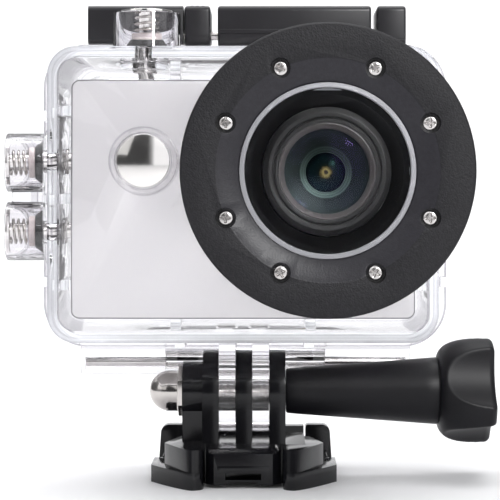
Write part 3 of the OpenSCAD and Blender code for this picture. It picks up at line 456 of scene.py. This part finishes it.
# Moulded plastics: name, dark and light colour, roughness, grain per metre, relief in metres, specular level
PLASTICS = {
    "buckle": ("buckle_plastic", (0.004, 0.004, 0.005), (0.007, 0.007, 0.009), 0.16, 1500, 0.000004, 0.35),
    "knob": ("knob_plastic", (0.006, 0.0058, 0.0075), (0.01, 0.0096, 0.0125), 0.45, 3500, 0.00001, 0.22),
    "latch": ("latch_plastic", (0.018, 0.017, 0.02), (0.025, 0.024, 0.028), 0.36, 4000, 0.000005, 0.35),
    "rubber": ("black_rubber", (0.01, 0.01, 0.011), (0.017, 0.017, 0.018), 0.55, 3000, 0.00001, 0.5),
    "silicone": ("white_silicone", (0.78, 0.8, 0.81), (0.86, 0.88, 0.89), 0.45, 2000, 0.00001, 0.5),
    "washer": ("washer_nylon", (0.66, 0.58, 0.56), (0.76, 0.69, 0.67), 0.4, 2500, 0.00001, 0.5),
    "lens_black": ("lens_black", (0.0025, 0.0025, 0.0028), (0.004, 0.004, 0.0045), 0.5, 4000, 0.000003, 0.05),
    "trim": ("lens_trim", (0.04, 0.035, 0.036), (0.058, 0.05, 0.052), 0.4, 4000, 0.000003, 0.5),
    "board": ("circuit_board", (0.01, 0.1, 0.04), (0.02, 0.16, 0.07), 0.3, 1200, 0.00002, 0.5),
    "battery": ("battery_wrap", (0.06, 0.16, 0.36), (0.09, 0.21, 0.44), 0.25, 900, 0.00002, 0.5),
    "screen": ("screen_glass", (0.004, 0.004, 0.006), (0.008, 0.008, 0.01), 0.08, 500, 0.000001, 0.5),
    "black": ("black_plastic", (0.014, 0.014, 0.014), (0.024, 0.024, 0.024), 0.45, 4000, 0.00001, 0.5),
    "key": ("key_plastic", (0.42, 0.42, 0.45), (0.5, 0.5, 0.53), 0.35, 4000, 0.00001, 0.5),
}

# Metals: name, low and high colour, roughness, scratches per metre, relief in metres
METALS = {
    "chrome": ("mirror_chrome", (0.84, 0.82, 0.8), (0.9, 0.88, 0.86), 0.1, 900, 0.0000005),
    "steel": ("bright_steel", (0.56, 0.54, 0.53), (0.68, 0.66, 0.65), 0.2, 3000, 0.000003),
    "nut": ("polished_steel", (0.5, 0.47, 0.45), (0.62, 0.59, 0.57), 0.13, 1200, 0.000002),
    "spring": ("spring_steel", (0.5, 0.47, 0.44), (0.66, 0.63, 0.6), 0.18, 3000, 0.000002),
    "plate": ("plated_metal", (0.6, 0.6, 0.62), (0.7, 0.7, 0.72), 0.28, 3000, 0.000004),
    "brass": ("turned_brass", (0.65, 0.45, 0.16), (0.78, 0.57, 0.24), 0.25, 3000, 0.000004),
}

MATERIALS.update((key, moulded_plastic(*facts)) for key, facts in PLASTICS.items())
MATERIALS.update((key, metal(*facts)) for key, facts in METALS.items())

NODE_MATERIALS = {
    "clear": ["housing_front", "housing_door"],
    "window": ["lens_window"],
    "ring": ["lens_ring"],
    "buckle": ["buckle_base", "buckle_clip_left", "buckle_clip_right"],
    "knob": ["thumbscrew_knob"],
    "latch": ["latch_anchor_left", "latch_anchor_right", "latch_lever", "latch_lock"],
    "rubber": ["button_seals"],
    "silicone": ["door_seal"],
    "washer": ["button_washers"],
    "silver": ["camera_front_shell", "camera_rear_shell", "battery_door"],
    "lens_black": ["lens_bezel", "lens_barrel", "window_seal"],
    "trim": ["lens_retainer"],
    "board": ["sensor_board", "main_board"],
    "battery": ["battery"],
    "screen": ["lcd_screen", "screen_glass"],
    "black": ["memory_card", "speaker"],
    "key": ["camera_shutter_button", "camera_power_button", "camera_up_button", "camera_down_button"],
    "chrome": ["shutter_plunger", "power_plunger", "up_plunger", "down_plunger"],
    "nut": ["cap_nut"],
    "steel": ["thumbscrew_bolt", "door_hinge_pin", "latch_pin", "ring_screws", "case_screws",
              "shutter_clip", "power_clip", "up_clip", "down_clip"],
    "spring": ["shutter_spring", "power_spring", "up_spring", "down_spring"],
    "plate": ["card_slot", "usb_port", "hdmi_port", "microphone"],
    "brass": ["tripod_insert"],
    "front_glass": ["front_glass"],
    "inner_glass": ["inner_lens"],
}

# Width of the softened edges of the CAD nodes, in millimetres
BEVELS = {
    "housing_front": 0.35, "housing_door": 0.35, "buckle_base": 0.3, "buckle_clip_left": 0.35,
    "buckle_clip_right": 0.35, "latch_anchor_left": 0.5, "latch_anchor_right": 0.5, "latch_lever": 0.5,
    "latch_lock": 0.5, "camera_front_shell": 0.8, "camera_rear_shell": 0.8, "lens_bezel": 0.1,
    "lens_ring": 0.12, "battery_door": 0.15, "lcd_screen": 0.2, "battery": 0.6, "cap_nut": 0.15,
    "button_washers": 0.15, "door_hinge_pin": 0.1, "latch_pin": 0.1, "memory_card": 0.1, "main_board": 0.08,
    "sensor_board": 0.08, "card_slot": 0.1, "usb_port": 0.1, "hdmi_port": 0.1, "speaker": 0.2,
    "microphone": 0.1, "shutter_clip": 0.08, "power_clip": 0.08, "up_clip": 0.08, "down_clip": 0.08,
    "camera_shutter_button": 0.25, "camera_power_button": 0.25, "camera_up_button": 0.25,
    "camera_down_button": 0.25, "case_screws": 0.1, "tripod_insert": 0.1, "screen_glass": 0.15,
}

# Nodes whose short edges may not narrow the bevel of their long ones
FULL_BEVELS = ("latch_lever", "latch_lock", "latch_anchor_right")

# Corners joined within this many millimetres, and the angles in degrees of a flat join and of a real edge
JOIN = 0.002
FLAT_ANGLE = 0.8
EDGE_ANGLE = 30


def soften_edges(piece, width):
    """Rounds a node's edges: joins its faces, drops the flat edges and bevels the rest."""
    weld = piece.modifiers.new("join", "WELD")
    weld.merge_threshold = JOIN * MM
    flat = piece.modifiers.new("flatten", "DECIMATE")
    flat.decimate_type = "DISSOLVE"
    flat.angle_limit = math.radians(FLAT_ANGLE)
    bevel = piece.modifiers.new("soften", "BEVEL")
    bevel.width = width * MM
    bevel.segments = 3
    bevel.limit_method = "ANGLE"
    bevel.angle_limit = math.radians(EDGE_ANGLE)
    bevel.use_clamp_overlap = piece.name not in FULL_BEVELS


def dress_nodes():
    """Gives every CAD node its material and its softened edges."""
    for key, names in NODE_MATERIALS.items():
        for name in names:
            piece = frame["nodes"][name]
            piece.data.materials.clear()
            piece.data.materials.append(MATERIALS[key])
            piece.data.shade_smooth()
            piece.data.set_sharp_from_angle(angle=math.radians(EDGE_ANGLE))
            if name in BEVELS:
                soften_edges(piece, BEVELS[name])


# ---- Mesh tools ----

def add_piece(name, points, faces, material, body, *nodes, sharp=EDGE_ANGLE):
    """A new piece from points in metres, riding on a body and standing for CAD nodes."""
    mesh = bpy.data.meshes.new(name)
    mesh.from_pydata(points, [], faces)
    work = bmesh.new()
    work.from_mesh(mesh)
    bmesh.ops.recalc_face_normals(work, faces=work.faces)
    work.to_mesh(mesh)
    work.free()
    mesh.materials.append(MATERIALS[material])
    mesh.shade_smooth()
    mesh.set_sharp_from_angle(angle=math.radians(sharp))
    piece = bpy.data.objects.new(name, mesh)
    bpy.context.scene.collection.objects.link(piece)
    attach(piece, body)
    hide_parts(*nodes)
    return piece


def rounded_outline(outline, closed, steps=4):
    """An outline with its corners turned into arcs; a corner's third number is its fillet."""
    result = []
    count = len(outline)
    for i, point in enumerate(outline):
        here = Vector(point[:2])
        fillet = point[2] if len(point) > 2 else 0
        if not fillet or (not closed and i in (0, count - 1)):
            result.append(here)
            continue
        before = Vector(outline[i - 1][:2]) - here
        after = Vector(outline[(i + 1) % count][:2]) - here
        half = before.angle(after) / 2
        setback = min(fillet / math.tan(half), 0.48 * before.length, 0.48 * after.length)
        radius = setback * math.tan(half)
        middle = here + (before.normalized() + after.normalized()).normalized() * (radius / math.sin(half))
        first = here + before.normalized() * setback - middle
        last = here + after.normalized() * setback - middle
        for k in range(steps + 1):
            blend = first.lerp(last, k / steps)
            result.append(middle + blend.normalized() * radius)
    return result


def dome(radius, edge, top, steps=14):
    """Outline points of a spherical cap from its rim to its middle, heights edge to top."""
    sag = top - edge
    ball = (radius * radius + sag * sag) / (2 * sag)
    points = []
    for k in range(steps + 1):
        r = radius * math.cos(math.pi / 2 * k / steps) if k < steps else 0.0
        points.append((r, top - ball + math.sqrt(ball * ball - r * r)))
    return points


def turned(outline, origin, axis, closed=False, segments=128):
    """Points and faces of an outline of (radius, distance) in millimetres, turned round an axis."""
    turn = Vector((0, 0, 1)).rotation_difference(axis).to_matrix()
    points = []
    rings = []
    for radius, along in outline:
        if radius < 1e-6:
            rings.append([len(points)])
            points.append(origin + turn @ Vector((0, 0, along * MM)))
            continue
        rings.append(list(range(len(points), len(points) + segments)))
        for k in range(segments):
            angle = TAU * k / segments
            spot = Vector((radius * math.cos(angle), radius * math.sin(angle), along)) * MM
            points.append(origin + turn @ spot)
    pairs = list(zip(rings, rings[1:]))
    if closed:
        pairs.append((rings[-1], rings[0]))
    faces = []
    for low, high in pairs:
        for k in range(segments):
            n = (k + 1) % segments
            if len(low) == 1:
                faces.append((low[0], high[n], high[k]))
            elif len(high) == 1:
                faces.append((low[k], low[n], high[0]))
            else:
                faces.append((low[k], low[n], high[n], high[k]))
    return points, faces


def skinned(rings):
    """Faces between rings of points of equal count, capped at both ends by their middles."""
    count = len(rings[0])
    points = [point for ring in rings for point in ring]
    faces = []
    for i in range(len(rings) - 1):
        for k in range(count):
            n = (k + 1) % count
            a = i * count
            faces.append((a + k, a + n, a + count + n, a + count + k))
    for ring, start in ((rings[0], 0), (rings[-1], (len(rings) - 1) * count)):
        middle = sum(ring, Vector()) / count
        points.append(middle)
        hub = len(points) - 1
        faces.extend((start + k, start + (k + 1) % count, hub) for k in range(count))
    return points, faces


def smooth_min(first, second, blend):
    """The smaller of two numbers, with a rounded change from one to the other."""
    h = max(0.0, min(1.0, 0.5 + 0.5 * (second - first) / blend))
    return second * (1 - h) + first * h - blend * h * (1 - h)


# ---- Lens ----

def lens_axis():
    """Foot of the lens axis, where distances along the axis are measured from."""
    return Vector((LENS.x, 0, LENS.z))


def build_lens():
    """The lens barrel with its baffles, the trim ring and the two glass elements."""
    axis = lens_axis()
    back, front = (value / MM for value in reach("lens_barrel", FRONT))
    barrel_r = (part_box("lens_barrel")[1].x - LENS.x) / MM
    glass_back, glass_front = (value / MM for value in reach("front_glass", FRONT))
    glass_r = (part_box("front_glass")[1].x - LENS.x) / MM
    inner_back, inner_front = (value / MM for value in reach("inner_lens", FRONT))
    inner_r = (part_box("inner_lens")[1].x - LENS.x) / MM

    tail_r = 9.5
    shoulder = 12
    face_r = 9.9
    groove_r = 9.0
    groove_depth = 0.35
    seat_r = 8.2
    seat_depth = 1.2
    play = 0.04
    outline = [(0, back), (tail_r, back), (tail_r, shoulder, 0.2), (barrel_r, shoulder, 0.1),
               (barrel_r, front - 0.6, 0.1), (face_r, front, 0.15), (groove_r + 0.2, front, 0.08),
               (groove_r + 0.1, front - groove_depth, 0.05), (groove_r - 0.1, front - groove_depth, 0.05),
               (groove_r - 0.2, front, 0.08), (seat_r, front, 0.05), (seat_r, front - seat_depth),
               (glass_r + play, front - seat_depth), (glass_r + play, glass_back - 0.3)]
    baffle_r0 = 6.5
    baffle_r1 = inner_r + 0.95
    baffle_z0 = glass_back - 0.4
    baffle_z1 = inner_front + 0.9
    baffles = 6
    for k in range(baffles):
        r0 = baffle_r0 + (baffle_r1 - baffle_r0) * k / baffles
        z0 = baffle_z0 + (baffle_z1 - baffle_z0) * k / baffles
        z1 = baffle_z0 + (baffle_z1 - baffle_z0) * (k + 1) / baffles
        outline += [(r0, z0 - 0.02, 0.04), (r0 - 0.06, z1 + 0.12, 0.04)]
    outline += [(baffle_r1, inner_front + 0.8), (inner_r + play, inner_front + 0.35),
                (inner_r + play, inner_back - 0.05), (0, inner_back - 0.05)]
    points, faces = turned(rounded_outline(outline, False, 3), axis, FRONT)
    add_piece("lens_barrel_turned", points, faces, "barrel", "housing", "lens_barrel")

    trim_r0 = glass_r + 0.05
    trim_r1 = seat_r - 0.05
    trim_back = front - 1.15
    ring = [(trim_r0, trim_back), (trim_r1, trim_back), (trim_r1, front - 0.12, 0.06),
            (trim_r1 - 0.2, front - 0.08, 0.06), (trim_r0, front - 0.85, 0.06)]
    points, faces = turned(rounded_outline(ring, True, 3), axis, FRONT, closed=True)
    add_piece("lens_trim_ring", points, faces, "trim", "housing", "lens_retainer")

    front_sag = 1.3
    back_sag = 0.9
    hollow = dome(glass_r - 0.3, glass_back, glass_back + back_sag)
    glass = hollow[::-1] + [(glass_r, glass_back)] + dome(glass_r, glass_front - front_sag, glass_front)
    points, faces = turned(glass, axis, FRONT)
    add_piece("front_lens_element", points, faces, "front_glass", "housing", "front_glass")

    deep = [(0, inner_back), (inner_r, inner_back)] + dome(inner_r, inner_front - back_sag, inner_front)
    points, faces = turned(deep, axis, FRONT)
    add_piece("inner_lens_element", points, faces, "inner_glass", "housing", "inner_lens")


def build_window():
    """The flat window in front of the lens, with ground edges."""
    back, front = (value / MM for value in reach("lens_window", FRONT))
    radius = (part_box("lens_window")[1].x - LENS.x) / MM
    pane = [(0, back), (radius, back, 0.2), (radius, front, 0.2), (0, front)]
    points, faces = turned(rounded_outline(pane, False), lens_axis(), FRONT)
    add_piece("lens_window_pane", points, faces, "window", "housing", "lens_window")


# Ring screws: shank, head and the cross in it, in millimetres, and how finely the head is divided
SHANK_R = 0.75
HEAD_R = 1.25
HEAD_T = 0.9
CROSS_DEPTH = 0.6
CROSS_ARM = 0.8
CROSS_HALF = 0.16
HEAD_RINGS = 22
HEAD_SIDES = 96


def cross_head(middle, twist, back, front):
    """Points of one screw: its shank, its shallow dome and the cross pressed into a fine polar grid."""
    points = []
    for r, t in ((SHANK_R, back), (SHANK_R, front - HEAD_T),
                 (HEAD_R, front - HEAD_T), (HEAD_R, front - 0.35)):
        for k in range(HEAD_SIDES):
            a = TAU * k / HEAD_SIDES
            points.append(middle + Vector((r * math.cos(a), -t, r * math.sin(a))) * MM)
    for step in range(1, HEAD_RINGS + 1):
        r = HEAD_R * (1 - step / HEAD_RINGS) ** 0.8
        height = front - 0.3 * (r / HEAD_R) ** 5
        for k in range(HEAD_SIDES if step < HEAD_RINGS else 1):
            a = TAU * k / HEAD_SIDES
            u = abs(r * math.cos(a + twist))
            v = abs(r * math.sin(a + twist))
            inside = min(1.0, max(0.0, (CROSS_HALF - min(u, v)) / 0.1 + 0.5))
            inside *= min(1.0, max(0.0, (CROSS_ARM - max(u, v)) / 0.22 + 0.3))
            t = height - CROSS_DEPTH * inside
            points.append(middle + Vector((r * math.cos(a), -t, r * math.sin(a))) * MM)
    return points


def build_ring_screws():
    """Eight cross-headed screws in the face of the black ring."""
    back, front = (value / MM for value in reach("ring_screws", FRONT))
    circle = 18.8
    first_angle = 24.9
    points = []
    faces = []
    for quarter in (0, 180):
        for base in (first_angle - 90, -first_angle, first_angle, 90 - first_angle):
            angle = math.radians(quarter + base)
            middle = Vector((LENS.x + circle * MM * math.cos(angle), 0,
                             LENS.z + circle * MM * math.sin(angle)))
            start = len(points)
            points.extend(cross_head(middle, math.radians(3.7 * base + quarter), back, front))
            loops = 3 + HEAD_RINGS
            for i in range(loops - 1):
                a = start + i * HEAD_SIDES
                for k in range(HEAD_SIDES):
                    n = (k + 1) % HEAD_SIDES
                    faces.append((a + k, a + n, a + HEAD_SIDES + n, a + HEAD_SIDES + k))
            hub = len(points) - 1
            a = start + (loops - 1) * HEAD_SIDES
            faces.extend((a + k, a + (k + 1) % HEAD_SIDES, hub) for k in range(HEAD_SIDES))
            faces.append(tuple(start + k for k in reversed(range(HEAD_SIDES))))
    add_piece("ring_screws_cross_head", points, faces, "steel", "housing", "ring_screws", sharp=40)


# ---- Push buttons ----

# Outward direction, turns of the spring and height of the cap's crown in millimetres
BUTTONS = {
    "shutter": (Vector((0, 0, 1)), 3.0, 0.3),
    "power": (Vector((0, -1, 0)), 1.2, 0.5),
    "up": (Vector((-1, 0, 0)), 3.0, 0.3),
    "down": (Vector((-1, 0, 0)), 3.0, 0.3),
}


def button_foot(node, outward):
    """Point on the button's axis at distance 0 from the frame's origin."""
    middle = centre(node)
    return middle - outward * middle.dot(outward)


def half_width(node, outward):
    """Half the width of a CAD node across its button's axis, in millimetres."""
    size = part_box(node)[1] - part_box(node)[0]
    return max(size[i] for i in range(3) if abs(outward[i]) < 0.5) / 2 / MM


def build_plunger(name, outward, crown):
    """Shaft and domed chrome cap of a push button."""
    node = f"{name}_plunger"
    tip, top = (value / MM for value in reach(node, outward))
    foot = button_foot(node, outward)
    cap_r = half_width(node, outward)
    shaft_r = 1.5
    cap_t = 1.0
    rim = top - crown
    outline = [(0, tip), (shaft_r, tip, 0.3), (shaft_r, top - cap_t, 0.15), (cap_r, top - cap_t, 0.12),
               (cap_r, rim, 0.16)]
    outline += dome(cap_r - 0.12, rim + 0.02, top)
    points, faces = turned(rounded_outline(outline, False), foot, outward)
    add_piece(f"{name}_plunger_turned", points, faces, "chrome", f"{name}_push", node)


def build_spring(name, outward, turns):
    """Round-wire coil spring of a push button."""
    node = f"{name}_spring"
    seat, top = (value / MM for value in reach(node, outward))
    foot = button_foot(node, outward)
    wire = 0.225
    widest_coil = 2.1
    steps_per_turn = 28
    coil_r = min(half_width(node, outward) - wire, widest_coil)
    frame_turn = Vector((0, 0, 1)).rotation_difference(outward).to_matrix()
    dead = 0.3 if turns > 2 else 0.0
    total = turns + 2 * dead
    sides = 12
    steps = int(steps_per_turn * total)
    length = top - seat - 2 * wire
    rings = []
    for i in range(steps + 1):
        turn = total * i / steps
        lift = 2 * wire * min(turn, dead)
        lift += max(0.0, min(turn - dead, turns)) * (length - 4 * wire * dead) / turns
        lift += 2 * wire * max(0.0, turn - dead - turns)
        a = TAU * turn
        ring = []
        for k in range(sides):
            b = TAU * k / sides
            r = coil_r + wire * math.cos(b)
            spot = Vector((r * math.cos(a), r * math.sin(a), seat + wire + lift + wire * math.sin(b)))
            ring.append(foot + frame_turn @ (spot * MM))
        rings.append(ring)
    points, faces = skinned(rings)
    piece = add_piece(f"{name}_spring_coil", points, faces, "spring", "housing", node, sharp=60)
    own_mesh(piece)


# ---- Thumbscrew ----

def knob_radius(theta, x, bell_r, scallops):
    """Radius of the thumbscrew head in one direction: its bell, less the nearest finger scallop."""
    cutter_r = 11.2
    reach_end = 17.8
    lean = math.tan(math.radians(8.5))
    half_angle = 1.2
    blend = 0.45
    radius = bell_r
    distance = reach_end + (scallops["end"] - x) * lean
    for k in range(4):
        delta = theta - math.radians(scallops["first"]) - TAU * k / 4
        delta = (delta + math.pi) % TAU - math.pi
        side = distance * math.sin(delta)
        if abs(delta) < half_angle and abs(side) < cutter_r:
            near = distance * math.cos(delta) - math.sqrt(cutter_r ** 2 - side ** 2)
            radius = smooth_min(radius, near, blend)
    return radius


def build_knob():
    """Tapered handle and bell-shaped head with four scallops, skinned from rings along the axis."""
    low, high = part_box("thumbscrew_knob")
    start = low.x / MM
    end = high.x / MM
    handle_r0 = 4.05
    handle_r1 = 6.05
    handle_end = 35.0
    head_r = 9.9
    bell_end = end - 1.0
    edge = 1.1
    scallops = {"first": 22, "end": end}
    stations = [(start, 3.6, 0.0), (start + 0.12, 3.93, 0.0), (start + 0.45, handle_r0, 0.0)]
    for k in range(1, 13):
        share = k / 12
        stations.append((start + (handle_end - 0.3 - start) * share,
                         handle_r0 + (handle_r1 - handle_r0) * share, 0.0))
    stations.append((handle_end - 0.05, handle_r1 - 0.12, 0.0))
    for k in range(0, 31):
        a = math.pi / 2 * (k / 30) ** 1.2
        x = bell_end - (bell_end - handle_end) * math.cos(a) ** 0.8
        stations.append((x, handle_r1 + (head_r - handle_r1) * math.sin(a), 0.0))
    for k in range(0, 9):
        a = math.pi / 2 * k / 8
        stations.append((end - edge * (1 - math.sin(a)), head_r, edge * (1 - math.cos(a))))
    stations.sort(key=lambda station: station[0] + 1e-4 * station[2])
    sides = 220
    rings = []
    for x, radius, inset in stations:
        ring = []
        for k in range(sides):
            theta = TAU * k / sides
            r = knob_radius(theta, x, radius, scallops) - inset
            ring.append(PIVOT + Vector((0, -r * math.cos(theta), r * math.sin(theta))) * MM)
        rings.append([point + Vector((x * MM, 0, 0)) for point in ring])
    middle = PIVOT + Vector((end * MM, 0, 0))
    base = rings[-1]
    for share, dip in ((0.93, 0.0), (0.9, 0.06), (0.86, 0.25), (0.6, 0.3), (0.3, 0.3)):
        rings.append([middle + (point - middle) * share + Vector((-dip * MM, 0, 0)) for point in base])
    points, faces = skinned(rings)
    add_piece("thumbscrew_knob_moulded", points, faces, "knob", "thumbscrew", "thumbscrew_knob", sharp=40)


def build_bolt():
    """Steel bolt with a rolled thread along its length."""
    low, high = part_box("thumbscrew_bolt")
    start = low.x / MM
    end = 9.0
    crest = (high.z - PIVOT.z) / MM - 0.02
    depth = 0.4
    pitch = 0.8
    lead_in = 0.8
    rows_per_turn = 8
    sides = 48
    rows = int((end - start) / pitch * rows_per_turn)
    rings = []
    for i in range(rows + 1):
        x = start + (end - start) * i / rows
        ring = []
        for k in range(sides):
            phase = (x / pitch + k / sides) % 1.0
            groove = min(1.0, max(0.0, 2.6 * abs(phase - 0.5) - 0.15))
            lead = min(1.0, (x - start) / lead_in + 0.55)
            r = (crest - depth * groove) * lead
            theta = TAU * k / sides
            ring.append(PIVOT + Vector((x, -r * math.cos(theta), r * math.sin(theta))) * MM)
        rings.append(ring)
    points, faces = skinned(rings)
    add_piece("thumbscrew_bolt_threaded", points, faces, "steel", "thumbscrew", "thumbscrew_bolt", sharp=70)


# ---- Stage, lights and camera ----

def build_stage():
    """A pale floor that curves up into a backdrop."""
    material, _, _ = new_material("pale_backdrop", 0.7, Base_Color=(0.93, 0.93, 0.935, 1))
    width = 1.3
    front = -1.2
    back = 0.9
    bend = 0.5
    height = 1.1
    steps = 24
    outline = [(front, 0.0)]
    for i in range(steps + 1):
        angle = math.pi / 2 * i / steps
        outline.append((back - bend + bend * math.sin(angle), bend - bend * math.cos(angle)))
    outline.append((back, height))
    mesh = bpy.data.meshes.new("backdrop")
    points = [(side * width / 2, y, z) for y, z in outline for side in (-1, 1)]
    faces = [(2 * i, 2 * i + 1, 2 * i + 3, 2 * i + 2) for i in range(len(outline) - 1)]
    mesh.from_pydata(points, [], faces)
    mesh.materials.append(material)
    mesh.shade_smooth()
    floor = bpy.data.objects.new("backdrop", mesh)
    bpy.context.scene.collection.objects.link(floor)


def add_area_light(name, place, target, size, power, shape="RECTANGLE"):
    """A soft light aimed at a point."""
    data = bpy.data.lights.new(name, "AREA")
    data.shape = shape
    data.size = size[0]
    if shape == "RECTANGLE":
        data.size_y = size[1]
    data.energy = power
    light = bpy.data.objects.new(name, data)
    light.location = place
    light.rotation_euler = (Vector(target) - Vector(place)).to_track_quat("-Z", "Y").to_euler()
    bpy.context.scene.collection.objects.link(light)
    return light


def build_world():
    """A white room, brighter overhead: dark where the photographer stands, with a pale card beside that, and
    dark at its sides. Only light and reflections show this; to the camera the room is plain white."""
    patch_dark = 0.85
    card_light = 0.7
    sides_dark = 0.6
    world = bpy.data.worlds.new("studio")
    bpy.context.scene.world = world
    world.use_nodes = True
    nodes = world.node_tree.nodes
    links = world.node_tree.links
    split = nodes.new("ShaderNodeSeparateXYZ")
    links.new(nodes.new("ShaderNodeTexCoord").outputs["Generated"], split.inputs["Vector"])
    x, y, z = split.outputs["X"], split.outputs["Y"], split.outputs["Z"]
    room = map_range(nodes, links, z, 0.37, 0.85, 0.25, 0.9)
    ahead = falling(nodes, links, y, -0.7, -0.6)
    patch = product(nodes, links, rising(nodes, links, x, -0.75, -0.65), falling(nodes, links, x, 0.02, 0.08),
                    rising(nodes, links, z, -0.06, -0.02), falling(nodes, links, z, 0.45, 0.6),
                    ahead, patch_dark)
    card = product(nodes, links, rising(nodes, links, x, 0.08, 0.12), falling(nodes, links, x, 0.5, 0.6),
                   ahead, card_light)
    sides = product(nodes, links, rising(nodes, links, math_node(nodes, links, "ABSOLUTE", x), 0.5, 0.6),
                    rising(nodes, links, y, -0.3, -0.1), sides_dark)
    strength = product(nodes, links, room, math_node(nodes, links, "SUBTRACT", 1.0, patch),
                       math_node(nodes, links, "SUBTRACT", 1.0, sides))
    strength = math_node(nodes, links, "ADD", strength, card)
    seen = nodes.new("ShaderNodeLightPath").outputs["Is Camera Ray"]
    hidden = math_node(nodes, links, "SUBTRACT", 1.0, seen)
    strength = math_node(nodes, links, "ADD", product(nodes, links, strength, hidden), seen)
    background = nodes["Background"]
    background.inputs["Color"].default_value = (0.97, 0.975, 1.0, 1)
    links.new(strength, background.inputs["Strength"])


def build_lights():
    """Soft boxes high on both sides, one overhead, one on the backdrop, and a small one for the lens."""
    build_world()
    target = (0, 0, PIVOT.z + 30 * MM)
    add_area_light("key_light", (-0.45, -0.45, 0.5), target, (0.8, 0.8), 1.4)
    add_area_light("fill_light", (0.55, -0.4, 0.3), target, (0.5, 0.5), 0.75)
    add_area_light("top_light", (0.0, 0.05, 0.7), target, (0.7, 0.4), 1.8)
    add_area_light("backdrop_light", (0.0, 0.3, 0.95), (0, 0.75, 0.1), (1.0, 0.4), 4.5)
    spark = add_area_light("round_light", (LENS.x + 0.21, -0.46, LENS.z + 0.26), LENS, (0.1,), 2.5, "DISK")
    spark.visible_diffuse = False
    spark.data.use_shadow = False


def build_camera():
    """Level view from the front, near enough to show the object's depth."""
    view = bpy.data.cameras.new("camera")
    view.lens = 116.5
    view.sensor_width = 36
    view.shift_x = -0.04
    view.shift_y = -0.07
    view.clip_start = 0.01
    camera = bpy.data.objects.new("camera", view)
    aside = 4.64
    distance = 294
    height = 31.9
    camera.location = (aside * MM, -distance * MM, PIVOT.z + height * MM)
    camera.rotation_euler = (math.pi / 2, 0, 0)
    bpy.context.scene.collection.objects.link(camera)
    bpy.context.scene.camera = camera


dress_nodes()
build_lens()
build_window()
build_ring_screws()
for button, (outward, turns, crown) in BUTTONS.items():
    build_plunger(button, outward, crown)
    build_spring(button, outward, turns)
build_knob()
build_bolt()
build_stage()
build_lights()
build_camera()
bpy.context.scene.view_settings.view_transform = "Standard"
